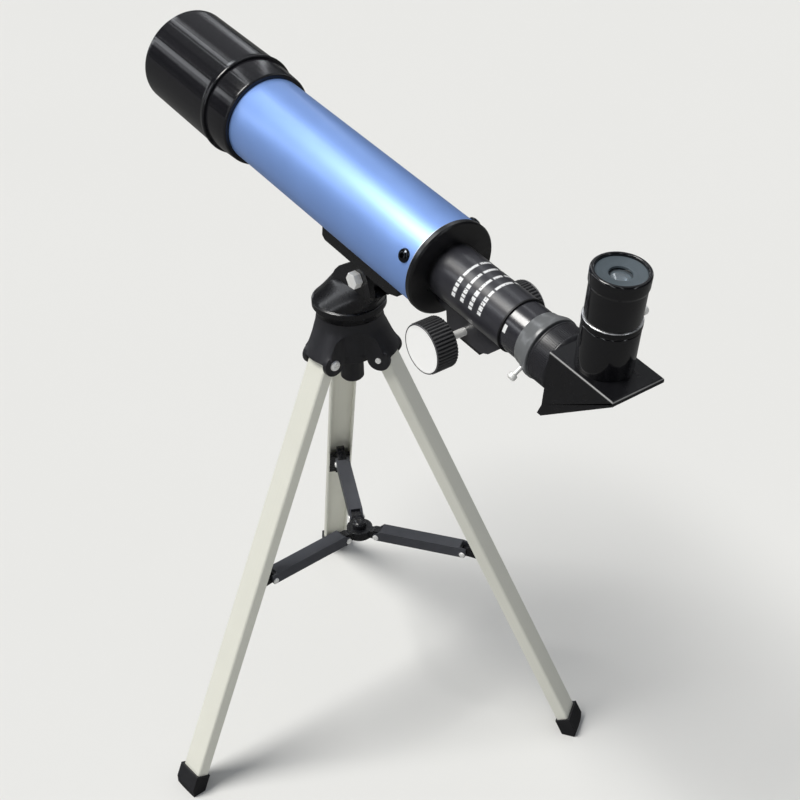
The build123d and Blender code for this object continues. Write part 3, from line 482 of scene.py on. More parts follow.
def finish_makers(colours, sizes):
    """How each finish is made, by the name that the pieces ask for."""
    black = tuple(colours.black)
    dull = lighter(black, 1.6)
    white = tuple(colours.print_white)
    return {
        "hood": lambda: hood_gloss("hood_gloss_black", dull),
        "crown": lambda: moulded(
            "crown_satin_black", lighter(black, 2.6), 1.8, (0.34, 0.48), 0.7, 0.012),
        "gloss": lambda: moulded("eyepiece_gloss_black", black, 1.5, (0.08, 0.18), 0.8, 0.003, 0.5),
        "body": lambda: moulded("body_gloss_black", black, 1.6, (0.22, 0.36), 0.7, 0.010, 0.15),
        "diagonal": lambda: diagonal_finish(black),
        "grip": lambda: knob_grip(dull),
        "rib": lambda: moulded("knob_rib_satin", (0.060, 0.060, 0.062), 1.5, (0.30, 0.42)),
        "inner": lambda: moulded(
            "inner_flat_black", lighter(black, 1.5), 1.5, (0.7, 0.9), 0.6, 0.03),
        "collar": lambda: moulded("collar_grey", tuple(colours.collar_grey), 1.3, (0.18, 0.30)),
        "nose": lambda: moulded("nose_ring_grey", tuple(colours.nose_grey), 1.3, (0.24, 0.38)),
        "cap": lambda: moulded("eyecup_grey", tuple(colours.cup_grey), 1.35, (0.35, 0.5)),
        "seam": lambda: moulded("seam_black", lighter(black, 0.7), 1.5, (0.4, 0.6)),
        "foot": lambda: moulded("foot_rubber", dull, 1.7, (0.45, 0.65), 0.8, 0.04),
        "arm": lambda: moulded("arm_blue_black", tuple(colours.arm_black), 1.5, (0.26, 0.42)),
        "hub": lambda: moulded("hub_black_plastic", dull, 1.5, (0.20, 0.34)),
        "rack": lambda: moulded("rack_nylon", (0.06, 0.06, 0.06), 1.4, (0.45, 0.6)),
        "inlay": lambda: knob_inlay(tuple(colours.inlay_white)),
        "tube": lambda: tube_paint(tuple(colours.tube_blue)),
        "barrel": lambda: barrel_finish(lighter(black, 5.0), white, sizes),
        "drawtube": lambda: drawtube_finish(lighter(black, 4.5), white),
        "leg": lambda: leg_paint(tuple(colours.leg_silver)),
        "steel": lambda: plated("screw_zinc", (0.62, 0.62, 0.60)),
        "dark_steel": lambda: plated("cell_screw_dark", (0.045, 0.050, 0.058), 1.4, (0.12, 0.22)),
        "white_steel": lambda: plated(
            "rivet_bright", (0.92, 0.92, 0.90), 1.1, (0.26, 0.40), metal=0.35),
        "flange": lambda: flange_finish(black),
        "objective": lambda: lens_coating("objective_coated_glass", (0.80, 0.86, 0.95)),
        "eye": lambda: lens_coating("eye_coated_glass", (0.66, 0.78, 0.88)),
        "silver": silvering,
    }


FINISHES = {}


def finish_material(name):
    """The material of a finish, made the first time that it is asked for."""
    if name not in FINISHES:
        colours, sizes, _ = settings()
        FINISHES[name] = finish_makers(colours, sizes)[name]().material
    return FINISHES[name]


# ---- mesh helpers
def rounded(corners, steps=3):
    """Profile corners (along, radius, rounding) as a fine polyline."""
    points = []
    count = len(corners)
    for index, corner in enumerate(corners):
        here = Vector(corner[:2])
        bend = corner[2] if len(corner) > 2 else 0.0
        before = Vector(corners[index - 1][:2]) - here
        after = Vector(corners[(index + 1) % count][:2]) - here
        reach = min(bend, before.length * 0.49, after.length * 0.49)
        if reach <= 0 or before.length == 0 or after.length == 0:
            points.append(here)
            continue
        start = here + before.normalized() * reach
        end = here + after.normalized() * reach
        for step in range(steps + 1):
            part = step / steps
            points.append((1 - part) ** 2 * start + 2 * part * (1 - part) * here + part ** 2 * end)
    return points


def linked(name, data):
    """A new object in the scene."""
    made = bpy.data.objects.new(name, data)
    bpy.context.scene.collection.objects.link(made)
    return made


def baked(build, name):
    """The mesh of a finished bmesh."""
    mesh = bpy.data.meshes.new(name)
    build.to_mesh(mesh)
    build.free()
    return mesh


def mesh_object(name, mesh, finish, smooth=35.0):
    """A shown object for a mesh, shaded smooth but for its sharp edges."""
    made = linked(name, mesh)
    mesh.materials.clear()
    mesh.materials.append(finish_material(finish))
    for face in mesh.polygons:
        face.use_smooth = True
        face.material_index = 0
    mesh.set_sharp_from_angle(angle=math.radians(smooth))
    return made


def lathe(name, finish, corners, place, segments=128, steps=3):
    """A turned piece: a closed (along, radius, rounding) outline spun about its own X axis."""
    profile = rounded(corners, steps)
    build = bmesh.new()
    rings = []
    for along, radius in profile:
        if radius < 1e-6:
            rings.append([build.verts.new(place @ Vector((along, 0, 0)) * MM)])
            continue
        ring = []
        for step in range(segments):
            turn = 2 * math.pi * step / segments
            spot = Vector((along, radius * math.cos(turn), radius * math.sin(turn)))
            ring.append(build.verts.new(place @ spot * MM))
        rings.append(ring)
    for index, ring in enumerate(rings):
        following = rings[(index + 1) % len(rings)]
        for step in range(segments):
            nxt = (step + 1) % segments
            if len(ring) == 1 and len(following) == 1:
                break
            if len(ring) == 1:
                build.faces.new((ring[0], following[step], following[nxt]))
            elif len(following) == 1:
                build.faces.new((ring[step], following[0], ring[nxt]))
            else:
                build.faces.new((ring[step], following[step], following[nxt], ring[nxt]))
    bmesh.ops.remove_doubles(build, verts=build.verts, dist=1e-7)
    bmesh.ops.recalc_face_normals(build, faces=build.faces)
    return mesh_object(name, baked(build, name), finish)


def extruded(name, finish, corners, half, place, steps=3):
    """A plate piece: a closed (x, z, rounding) outline carried half the width to each side."""
    profile = rounded(corners, steps)
    build = bmesh.new()
    sides = []
    for across in (-half, half):
        spots = [place @ Vector((spot.x, across, spot.y)) * MM for spot in profile]
        sides.append([build.verts.new(spot) for spot in spots])
    for side in sides:
        build.faces.new(side)
    near, far = sides
    for index in range(len(near)):
        following = (index + 1) % len(near)
        build.faces.new((near[index], near[following], far[following], far[index]))
    bmesh.ops.recalc_face_normals(build, faces=build.faces)
    return mesh_object(name, baked(build, name), finish)


def settled(made):
    """Replaces an object's mesh by what its modifiers make of it, and removes them."""
    bpy.context.view_layer.update()
    view = made.evaluated_get(bpy.context.evaluated_depsgraph_get())
    mesh = bpy.data.meshes.new_from_object(view)
    made.modifiers.clear()
    old = made.data
    made.data = mesh
    bpy.data.meshes.remove(old)
    mesh.name = made.name
    return made


def softened(name, finish, node, edge=0.4, segments=3, angle=32.0, smooth=35.0, flat=1.0,
             share=None, clamp=True):
    """A copy of a CAD node's form with its triangles merged and its edges rounded over.

    share, if given, says how much of the rounding an edge gets from where its middle is.
    """
    build = bmesh.new()
    build.from_mesh(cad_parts[node].data)
    bmesh.ops.remove_doubles(build, verts=build.verts, dist=1e-6)
    bmesh.ops.dissolve_limit(
        build, angle_limit=math.radians(flat), verts=build.verts, edges=build.edges)
    bmesh.ops.recalc_face_normals(build, faces=build.faces)
    weight = build.edges.layers.float.new("bevel_weight_edge")
    for line in build.edges:
        if line.calc_face_angle(0.0) > math.radians(angle):
            middle = (line.verts[0].co + line.verts[1].co) / 2 / MM
            line[weight] = share(middle) if share else 1.0
    made = mesh_object(name, baked(build, name), finish, smooth)
    bevel = made.modifiers.new("rounding", "BEVEL")
    bevel.width = edge * MM
    bevel.segments = segments
    bevel.limit_method = "WEIGHT"
    bevel.use_clamp_overlap = clamp
    bevel.harden_normals = True
    return settled(made)


def on(made, body, slot, *nodes):
    """Puts a finished piece on its body, in place of CAD nodes; slot is not used."""
    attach(made, body)
    if nodes:
        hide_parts(*nodes)
    return made


def turned_on(node, finish, body, slot, corners, place, segments):
    """A turned piece, on its body, in place of a CAD node; slot is not used."""
    return on(lathe(node, finish, corners, place, segments), body, slot, node)


def softened_on(node, finish, body, slot, *how, **more):
    """A softened CAD node, on its body; slot is not used."""
    return on(softened(node, finish, node, *how, **more), body, slot, node)


# ---- repeated pieces
def spread_tree(name, material):
    """Geometry nodes: a pattern piece on every point, turned by the points' own attributes."""
    tree = bpy.data.node_groups.new(name, "GeometryNodeTree")
    tree.interface.new_socket("Spots", in_out="INPUT", socket_type="NodeSocketGeometry")
    tree.interface.new_socket("Pattern", in_out="INPUT", socket_type="NodeSocketObject")
    tree.interface.new_socket("Pieces", in_out="OUTPUT", socket_type="NodeSocketGeometry")
    nodes, link = tree.nodes, tree.links.new
    entry = nodes.new("NodeGroupInput")
    leave = nodes.new("NodeGroupOutput")
    info = nodes.new("GeometryNodeObjectInfo")
    spin = nodes.new("GeometryNodeInputNamedAttribute")
    spin.data_type = "FLOAT_VECTOR"
    spin.inputs["Name"].default_value = "spin"
    copies = nodes.new("GeometryNodeInstanceOnPoints")
    real = nodes.new("GeometryNodeRealizeInstances")
    paint = nodes.new("GeometryNodeSetMaterial")
    paint.inputs["Material"].default_value = material
    link(entry.outputs["Pattern"], info.inputs["Object"])
    link(entry.outputs["Spots"], copies.inputs["Points"])
    link(info.outputs["Geometry"], copies.inputs["Instance"])
    link(spin.outputs["Attribute"], copies.inputs["Rotation"])
    link(copies.outputs["Instances"], real.inputs["Geometry"])
    link(real.outputs["Geometry"], paint.inputs["Geometry"])
    link(paint.outputs["Geometry"], leave.inputs["Pieces"])
    return tree


def spread(name, finish, pattern, places, smooth=35.0):
    """Copies of a pattern piece at several places, as one plain mesh."""
    mesh = bpy.data.meshes.new(name)
    mesh.from_pydata([place.translation * MM for place in places], [], [])
    spin = mesh.attributes.new("spin", "FLOAT_VECTOR", "POINT")
    for entry, place in zip(spin.data, places):
        entry.vector = place.to_euler("XYZ")
    made = linked(name, mesh)
    tree = spread_tree(name + "_spread", finish_material(finish))
    modifier = made.modifiers.new("spread", "NODES")
    modifier.node_group = tree
    for item in tree.interface.items_tree:
        if item.in_out == "INPUT" and item.name == "Pattern":
            modifier[item.identifier] = pattern
    settled(made)
    bpy.data.objects.remove(pattern)
    for face in made.data.polygons:
        face.use_smooth = True
    made.data.set_sharp_from_angle(angle=math.radians(smooth))
    return made


def pan_head(finish, radius, height, shank_radius, shank, cross=0.55):
    """A pattern screw along Z: a domed head above zero with a cross recess, a shank below."""
    made = lathe(
        "screw_pattern", finish,
        [(height, 0), (height, radius * 0.45, 0.3), (height * 0.62, radius * 0.86, 0.5),
         (0, radius, 0.2), (0, shank_radius), (-shank, shank_radius, 0.2), (-shank, 0)],
        STOOD_UP, 32)
    build = bmesh.new()
    for turn in (0.0, math.pi / 2):
        size = Matrix.Diagonal((radius * 2 * cross, radius * 0.24, height, 1))
        bmesh.ops.create_cube(
            build, size=1.0,
            matrix=Matrix.Scale(MM, 4) @ Matrix.Rotation(turn, 4, "Z")
            @ Matrix.Translation((0, 0, height * 0.98)) @ size)
    cutter = linked("cross_recess", baked(build, "cross_recess"))
    cut = made.modifiers.new("recess", "BOOLEAN")
    cut.object = cutter
    cut.operation = "DIFFERENCE"
    cut.solver = "EXACT"
    cut.use_self = True
    settled(made)
    bpy.data.objects.remove(cutter)
    return made


def face_out(centre, outward):
    """A place whose Z axis points outward."""
    return Matrix.Translation(centre) @ Vector(outward).to_track_quat("Z", "X").to_matrix().to_4x4()


def rivet(head_radius, head, shank_radius, shank, both=False):
    """A pattern rivet along Z: a domed head, a shank below zero, a second head if asked."""
    corners = [(head, 0), (head, head_radius * 0.5, 0.4), (head * 0.35, head_radius, 0.4),
               (0, head_radius, 0.1), (0, shank_radius)]
    if both:
        corners += [(-shank, shank_radius), (-shank, head_radius, 0.1),
                    (-shank - head * 0.35, head_radius, 0.4),
                    (-shank - head, head_radius * 0.5, 0.4), (-shank - head, 0)]
    else:
        corners += [(-shank, shank_radius), (-shank, 0)]
    return lathe("rivet_pattern", "white_steel", corners, STOOD_UP, 24, 2)


def rib(finish, length, width, height):
    """A pattern rib along X that stands out along Z."""
    build = bmesh.new()
    bmesh.ops.create_cube(build, size=1.0, matrix=Matrix.Diagonal((length, width, height, 1)))
    top = [edge for edge in build.edges if min(vert.co.z for vert in edge.verts) > 0]
    bmesh.ops.bevel(build, geom=top, offset=width * 0.3, segments=2, affect="EDGES")
    bmesh.ops.scale(build, vec=(MM, MM, MM), verts=build.verts)
    return mesh_object("rib_pattern", baked(build, "rib_pattern"), finish)


def ribs_round(name, finish, place, station, radius, count, size):
    """Ribs along a turned piece, spread evenly round it."""
    spots = []
    for number in range(count):
        turned = Matrix.Rotation(2 * math.pi * number / count, 4, "X")
        spots.append(place @ turned @ Matrix.Translation((station, 0, radius)))
    return spread(name, finish, rib(finish, *size), spots)


def dress(node, finish):
    """A CAD node that keeps its own mesh and takes a finish."""
    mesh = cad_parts[node].data
    mesh.materials.clear()
    mesh.materials.append(finish_material(finish))


def thumbscrew(name, body, place, head):
    """A small bright thumbscrew along Z from its tip, with its head from a height up."""
    corners = [(12.3, 0), (12.3, 1.1, 0.2), (12.8, 1.4, 0.1), (head, 1.4), (head, 2.3, 0.2),
               (head + 0.5, 2.7, 0.3), (head + 2.9, 2.7, 0.4), (head + 3.5, 2.0, 0.3),
               (head + 3.5, 0)]
    made = lathe(name, "white_steel", corners, place @ STOOD_UP, 48)
    return on(made, body, "bright_metal", name)


def lengthways(made, place):
    """A UV map that runs along a leg and round it, in metres."""
    layer = made.data.uv_layers.new(name="lengthways")
    back = place.inverted()
    for face in made.data.polygons:
        for index in face.loop_indices:
            spot = back @ (made.data.vertices[made.data.loops[index].vertex_index].co / MM)
            layer.data[index].uv = (spot.z * MM, (spot.x + spot.y) * MM)


# ---- the pieces
class TELESCOPE_OT_objective_end(bpy.types.Operator):
    """Make the dew hood and the lens cell, and finish the lenses"""

    bl_idname = "telescope.objective_end"
    bl_label = "Objective end"

    def execute(self, context):
        turned_on("dew_hood", "hood", "hood", "hood_black", [
            (-190.3, 33.25, 0.4), (-190.3, 34.7, 0.6), (-186.0, 34.72, 0.1), (-116.0, 35.05, 0.6),
            (-112.2, 36.15, 0.5), (-110.9, 35.7, 0.3), (-110.9, 33.25, 0.2)], TUBE_AT, 192)
        turned_on("objective_cell", "hood", "telescope", "hood_black", [
            (-130.0, 26.6, 0.3), (-130.0, 33.1, 0.4), (-110.7, 33.1, 0.1), (-110.7, 34.35, 0.4),
            (-89.6, 33.2, 0.7), (-88.5, 32.4, 0.3), (-88.5, 28.8), (-74.5, 28.7, 0.2),
            (-74.5, 26.6, 0.2), (-107.6, 25.05, 0.2), (-110.6, 25.05, 0.1), (-110.6, 26.6, 0.1)],
            TUBE_AT, 192)
        for node in ("crown_lens", "flint_lens"):
            dress(node, "objective")
        softened_on("lens_retaining_ring", "inner", "telescope", "inner_black", 0.2, 2)
        return {"FINISHED"}


class TELESCOPE_OT_main_tube(bpy.types.Operator):
    """Make the blue tube and the screws that hold the focuser in it"""

    bl_idname = "telescope.main_tube"
    bl_label = "Main tube"

    def execute(self, context):
        turned_on("main_tube", "tube", "telescope", "tube_blue", [
            (-88.5, 28.8, 0.2), (-88.5, 30.0, 0.3), (105.8, 30.0, 0.3),
            (105.8, 28.8, 0.2)], TUBE_AT, 192)
        dress("tube_baffle", "inner")
        spots = []
        for number in range(3):
            turn = math.radians(CELL_SCREW_DEGREES + 120 * number)
            outward = Vector((0, math.cos(turn), math.sin(turn)))
            seat = Vector((CELL_SCREW_STATION, 0, 0)) + outward * TUBE_RADIUS
            spots.append(TUBE_AT @ face_out(seat, outward))
        head = pan_head("dark_steel", 4.45, 2.25, 1.5, 3.3, 0.3)
        screws = spread("cell_screws", "dark_steel", head, spots)
        on(screws, "telescope", "screw_steel", "cell_screws")
        return {"FINISHED"}


class TELESCOPE_OT_focuser(bpy.types.Operator):
    """Make the focuser body, its end ring and cover, and the drawtube"""

    bl_idname = "telescope.focuser"
    bl_label = "Focuser"

    def execute(self, context):
        edge = context.scene.telescope_sizes.plastic_edge / MM
        softened_on("focuser_body", "barrel", "telescope", "body_black", edge)
        softened_on("focuser_end_ring", "seam", "telescope", "hood_black", 0.2, 2)
        softened_on("pinion_cover", "body", "telescope", "hood_black", 0.4)
        dress("pinion_cover_screws", "steel")
        turned_on("drawtube", "drawtube", "drawtube_set", "body_black", [
            (93.0, 15.2, 0.2), (93.0, 16.4, 0.2), (190.0, 16.4, 0.1),
            (190.0, 15.2, 0.1)], TUBE_AT, 128)
        dress("focus_rack", "rack")
        dress("pinion_shaft", "white_steel")
        return {"FINISHED"}


class TELESCOPE_OT_focus_knobs(bpy.types.Operator):
    """Make the two ribbed focus knobs and their white discs"""

    bl_idname = "telescope.focus_knobs"
    bl_label = "Focus knobs"

    def execute(self, context):
        count = context.scene.telescope_sizes.knob_ribs
        for name, side in (("near", 1), ("far", -1)):
            turned = Matrix.Rotation(-side * math.pi / 2, 4, "Z")
            place = TUBE_AT @ Matrix.Translation(KNOB_STATION) @ turned
            turned_on("focus_knob_" + name, "grip", "pinion_set", "hood_black", [
                (20.65, 2.5), (20.65, 5.0, 0.4), (24.4, 5.4, 0.4), (24.65, 13.6, 0.4),
                (25.6, 15.1, 0.4),
                (39.9, 15.15, 0.2), (40.3, 15.55, 0.2), (40.8, 15.2, 0.2), (40.8, 14.85, 0.1),
                (39.6, 14.8), (39.6, 2.5)], place, 128)
            band = ribs_round("knob_ribs_" + name, "rib", place, *KNOB_RIB_AT, count, KNOB_RIB)
            on(band, "pinion_set", "hood_black")
            disc = lathe("knob_disc_" + name, "inlay", [
                (39.6, 0), (40.5, 0), (40.5, 13.4, 0.4), (40.62, 13.9, 0.2), (40.58, 14.78, 0.2),
                (39.6, 14.78)], place, 128)
            on(disc, "pinion_set", "disc_white", "knob_discs")
        return {"FINISHED"}


class TELESCOPE_OT_collar(bpy.types.Operator):
    """Make the drawtube collar and its clamp screw"""

    bl_idname = "telescope.collar"
    bl_label = "Drawtube collar"

    def execute(self, context):
        turned_on("drawtube_collar", "collar", "drawtube_set", "body_black", [
            (187.5, 16.42), (187.5, 17.0, 0.2), (190.5, 17.45, 1.2), (196.0, 19.4, 1.0),
            (197.0, 19.65, 0.4),
            (199.6, 19.6, 0.5), (199.6, 12.35, 0.2), (183.5, 12.35, 0.2), (183.5, 15.15),
            (190.0, 15.15),
            (190.0, 16.42)], TUBE_AT, 160)
        turned = Matrix.Rotation(math.radians(COLLAR_SCREW_DEGREES), 4, "X")
        place = TUBE_AT @ Matrix.Translation((COLLAR_SCREW_STATION, 0, 0)) @ turned
        thumbscrew("collar_screw", "clamp_screw", place, 23.8)
        return {"FINISHED"}


def diagonal_rounding(spot):
    """Rounding on the outer edges of the diagonal's top only."""
    along, across, up = TUBE_AT.inverted() @ spot
    outer = abs(across) > ROUNDED_ACROSS or along > ROUNDED_ALONG
    return 1.0 if up > ROUNDED_UP and outer else 0.0


class TELESCOPE_OT_diagonal(bpy.types.Operator):
    """Make the diagonal, its ribbed nose ring and the eyepiece holder"""

    bl_idname = "telescope.diagonal"
    bl_label = "Diagonal"

    def execute(self, context):
        sizes = context.scene.telescope_sizes
        turned_on("diagonal_nose", "nose", "diagonal", "body_black", [
            (179.0, 10.9, 0.2), (179.0, 12.1, 0.3), (200.5, 12.25), (200.5, 18.5, 0.4),
            (201.1, 18.9, 0.2),
            (202.0, 18.9, 0.2), (202.3, 18.6, 0.1), (212.6, 18.6, 0.1), (212.9, 18.95, 0.2),
            (213.7, 18.9, 0.5), (215.9, 17.0, 0.4), (215.9, 10.9, 0.2)], TUBE_AT, 160)
        count = sizes.nose_ribs
        band = ribs_round("nose_ribs", "nose", TUBE_AT, *NOSE_RIB_AT, count, NOSE_RIB)
        on(band, "diagonal", "body_black")
        for node in ("diagonal_housing", "diagonal_back"):
            softened_on(node, "diagonal", "diagonal", "body_black", 1.3, 4,
                        share=diagonal_rounding, clamp=False)
        dress("diagonal_mirror", "silver")
        turned_on("eyepiece_holder", "gloss", "diagonal", "hood_black", [
            (15.5, 12.35, 0.2), (15.5, 14.35, 0.2), (17.5, 14.35), (17.5, 16.1, 0.3),
            (44.5, 16.05, 0.5),
            (45.2, 15.4, 0.3), (45.2, 12.35, 0.2)], EYEPIECE_AT, 128)
        seat = TUBE_AT @ Matrix.Translation((EYEPIECE_STATION, 0, HOLDER_SCREW_HEIGHT))
        place = (seat @ Matrix.Rotation(math.radians(HOLDER_SCREW_DEGREES), 4, "Z")
                 @ Matrix.Rotation(math.pi / 2, 4, "Y"))
        thumbscrew("eyepiece_screw", "holder_screw", place, 24.5)
        return {"FINISHED"}


class TELESCOPE_OT_eyepiece(bpy.types.Operator):
    """Make the eyepiece's barrel, body and eyecup, and finish its lenses"""

    bl_idname = "telescope.eyepiece"
    bl_label = "Eyepiece"

    def execute(self, context):
        turned_on("eyepiece_barrel", "flange", "eyepiece", "bright_metal", [
            (27.0, 11.2, 0.2), (27.0, 12.1, 0.3), (45.25, 12.25), (45.25, 15.8, 0.15),
            (45.7, 16.28, 0.2),
            (48.7, 16.28, 0.2), (49.2, 15.95, 0.15), (49.2, 11.2, 0.2)], EYEPIECE_AT, 128)
        turned_on("eyepiece_body", "gloss", "eyepiece", "hood_black", [
            (49.22, 9.0, 0.1), (49.22, 15.5, 0.3), (69.2, 15.58, 0.5), (70.7, 16.2, 0.4),
            (77.7, 16.28, 0.6),
            (78.45, 15.5, 0.3), (78.45, 14.3, 0.3), (77.9, 13.92, 0.2), (74.5, 13.92), (74.5, 7.02),
            (70.5, 7.02), (70.5, 6.05), (56.2, 6.05), (56.2, 9.0)], EYEPIECE_AT, 128)
        turned_on("eyepiece_cap", "cap", "eyepiece", "cap_grey", [
            (74.5, 6.35, 0.1), (74.5, 13.85, 0.1), (76.85, 13.85, 0.2), (76.65, 12.8, 0.4),
            (76.05, 9.6, 1.0),
            (75.85, 6.4, 0.2)], EYEPIECE_AT, 128)
        for node in ("eye_lens", "field_lens"):
            dress(node, "eye")
        return {"FINISHED"}


def rim_only(spot):
    """Rounding on the rim of the turning head only; its blended neck keeps its own form."""
    return 1.0 if abs(spot.z + FOOTPRINT.z - ROTOR_RIM_HEIGHT) < ROTOR_RIM_HALF else 0.0


class TELESCOPE_OT_mount_head(bpy.types.Operator):
    """Make the tube's shoe, the turning head, the crown and their bolts"""

    bl_idname = "telescope.mount_head"
    bl_label = "Mount head"

    def execute(self, context):
        edge = context.scene.telescope_sizes.plastic_edge / MM
        for node, body, finish in (("tube_shoe", "telescope", "body"), ("crown", "base", "crown")):
            softened_on(node, finish, body, "body_black", edge)
        softened_on("azimuth_rotor", "body", "turntable", "body_black", edge,
                    flat=0.02, share=rim_only)
        for node, body in (("altitude_bolt", "turntable"), ("altitude_nut", "turntable"),
                           ("azimuth_bolt", "base")):
            softened_on(node, "white_steel", body, "screw_steel", 0.35, 2)
        for node in ("azimuth_nut", "shoe_screws", "shoe_nuts"):
            dress(node, "steel")
        return {"FINISHED"}


class TELESCOPE_OT_legs(bpy.types.Operator):
    """Make the three legs, their rubber feet and the bolts they fold on"""

    bl_idname = "telescope.legs"
    bl_label = "Legs"

    def execute(self, context):
        spots = []
        for number, turn in enumerate(LEG_TURNS, start=1):
            place = round_tripod(turn, LEG_PIVOT) @ Matrix.Rotation(-LEG_TILT, 4, "Y")
            leg = softened(f"leg_{number}", "leg", f"leg_{number}", 0.3, 2)
            lengthways(leg, place)
            on(leg, f"leg_{number}_set", "leg_grey", f"leg_{number}")
            softened_on(f"foot_{number}", "foot", f"leg_{number}_set", "foot_black", 1.0)
            outward = Vector((0, 1, 0))
            spots.append(round_tripod(turn, LEG_PIVOT) @ face_out(outward * LEG_BOLT_FACE, outward))
        head = pan_head("white_steel", 3.8, 2.1, 2.0, 26.0)
        bolts = spread("leg_bolts", "white_steel", head, spots)
        on(bolts, "base", "screw_steel", "leg_bolts")
        return {"FINISHED"}


class TELESCOPE_OT_spreader(bpy.types.Operator):
    """Make the folding spreader: hub, arms, brackets and rivets"""

    bl_idname = "telescope.spreader"
    bl_label = "Spreader"

    def execute(self, context):
        edge = context.scene.telescope_sizes.metal_edge / MM
        pins = []
        for number, turn in enumerate(LEG_TURNS, start=1):
            leg_set, arm_set = f"leg_{number}_set", f"arm_{number}_set"
            softened_on(f"brace_bracket_{number}", "hub", leg_set, "brace_black", edge, 2)
            softened_on(f"brace_arm_{number}", "arm", arm_set, "brace_grey", edge, 2)
            hinge = round_tripod(turn, ARM_PIVOT)
            far = (hinge @ Matrix.Rotation(-ARM_RISE, 4, "Y")
                   @ Matrix.Translation((ARM_LENGTH, 0, 0)))
            ends = [far @ face_out(Vector((0, side * RIVET_FACE, 0)), Vector((0, side, 0)))
                    for side in (1, -1)]
            rivets = spread(f"arm_rivets_{number}", "white_steel", rivet(*RIVET_HEAD, 1.7), ends)
            on(rivets, f"arm_{number}_set", "screw_steel", f"arm_rivets_{number}")
            pins.append(hinge @ face_out(Vector((0, 5.22, 0)), Vector((0, 1, 0))))
        through = spread("hub_pins", "white_steel", rivet(*RIVET_HEAD, 10.44, both=True), pins)
        on(through, "hub", "screw_steel", "hub_pins")
        for node in ("brace_hub", "hub_knob"):
            softened_on(node, "hub", "hub", "brace_black", edge)
        for number, turn in enumerate(LEG_TURNS, start=1):
            boss = extruded(f"hub_boss_{number}", "hub", [
                (-4.6, 2.8, 0.4), (-2.6, 4.2, 0.8), (6.6, 4.2, 0.8), (7.0, 3.4, 0.4),
                (7.0, -1.4, 0.6),
                (0.0, -2.4, 0.6), (-4.6, -2.4, 0.3)], BOSS_HALF, round_tripod(turn, ARM_PIVOT))
            on(boss, "hub", "brace_black")
        return {"FINISHED"}


# ---- stage
CAMERA_TURN = math.radians(54.0)
CAMERA_RISE = math.radians(34.6)
CAMERA_ROLL = math.radians(-1.4)
CAMERA_SIDE = 30.6
CAMERA_LIFT = 58.4
AIM = Vector((0, 0, 200))
KEY_WAY = Vector((-0.22, -0.42, 0.88))
KEY_DEGREES = 26
KEY_COLOUR = (1.0, 0.985, 0.95)
SENSOR_WIDTH = 36.0
FLOOR_HALF = 40
ROOM_COLOUR = (0.93, 0.96, 1.0, 1)
CEILING_GLOW = 0.36
STRIP_GLOW = 4.6
ROOM_GLOW = 0.02
BACKDROP_GLOW = 0.84


def camera_axes():
    back = Vector((math.sin(CAMERA_TURN) * math.cos(CAMERA_RISE),
                   -math.cos(CAMERA_TURN) * math.cos(CAMERA_RISE), math.sin(CAMERA_RISE)))
    right = Vector((0, 0, 1)).cross(back).normalized()
    up = back.cross(right)
    across = right * math.cos(CAMERA_ROLL) + up * math.sin(CAMERA_ROLL)
    above = up * math.cos(CAMERA_ROLL) - right * math.sin(CAMERA_ROLL)
    return across, above, back


def studio_world(sky):
    """Even light; gloss reflects a dim room with strip lights, the camera sees a backdrop."""
    world = bpy.data.worlds.new("studio")
    world.use_nodes = True
    room = Nodes(world.node_tree)
    way = room.node("ShaderNodeTexCoord", output="Generated")
    _, _, back = camera_axes()
    away = Vector((-back.x, -back.y, 0)).normalized()
    side = away.cross(Vector((0, 0, 1)))
    ceiling = room.reach(way, (away * 0.55 + Vector((0, 0, 0.83)))[:])
    left = room.reach(way, (-side)[:])
    tall = room.reach(way, (0, 0, 1))
    strips = left.between(0.84, 0.89, 0.03) * tall.between(-0.15, 0.60, 0.2) * 0.8
    strips = strips.over(left.between(-0.72, -0.66, 0.04) * tall.between(-0.1, 0.75, 0.2) * 0.5)
    strips = strips.over(left.between(0.36, 0.42, 0.03) * tall.between(0.2, 0.95, 0.2))
    strips = strips.over(left.between(-0.10, -0.06, 0.03) * tall.between(0.2, 0.98, 0.2) * 0.6)
    glow = ceiling.above(0.80, 0.4) * CEILING_GLOW + strips * STRIP_GLOW + ROOM_GLOW
    glossy = room.node("ShaderNodeLightPath", output="Is Glossy Ray")
    seen = room.node("ShaderNodeLightPath", output="Is Camera Ray")
    strength = glossy * glow + seen * BACKDROP_GLOW + (1 - glossy - seen) * sky
    ground = world.node_tree.nodes["Background"]
    ground.inputs["Color"].default_value = ROOM_COLOUR
    world.node_tree.links.new(strength.socket, ground.inputs["Strength"])
    bpy.context.scene.world = world


def studio_floor(tone):
    corners = ((-1, -1), (1, -1), (1, 1), (-1, 1))
    mesh = bpy.data.meshes.new("floor")
    mesh.from_pydata([(x * FLOOR_HALF, y * FLOOR_HALF, 0) for x, y in corners], [], [(0, 1, 2, 3)])
    floor = linked("floor", mesh)
    paper = Finish("floor_paper", Roughness=0.9, Specular_IOR_Level=0.1)
    glossy = paper.node("ShaderNodeLightPath", output="Is Glossy Ray")
    shade = paper.colours(paper.noise(400.0), tone, lighter(tone, 1.02))
    # Painted shade: seen in reflections the paper takes 18 % of its tone, so glossy parts reflect a
    # dark floor.
    paper.feed(Base_Color=paper.colours(glossy, shade, lighter(tone, 0.18)))
    mesh.materials.append(paper.material)


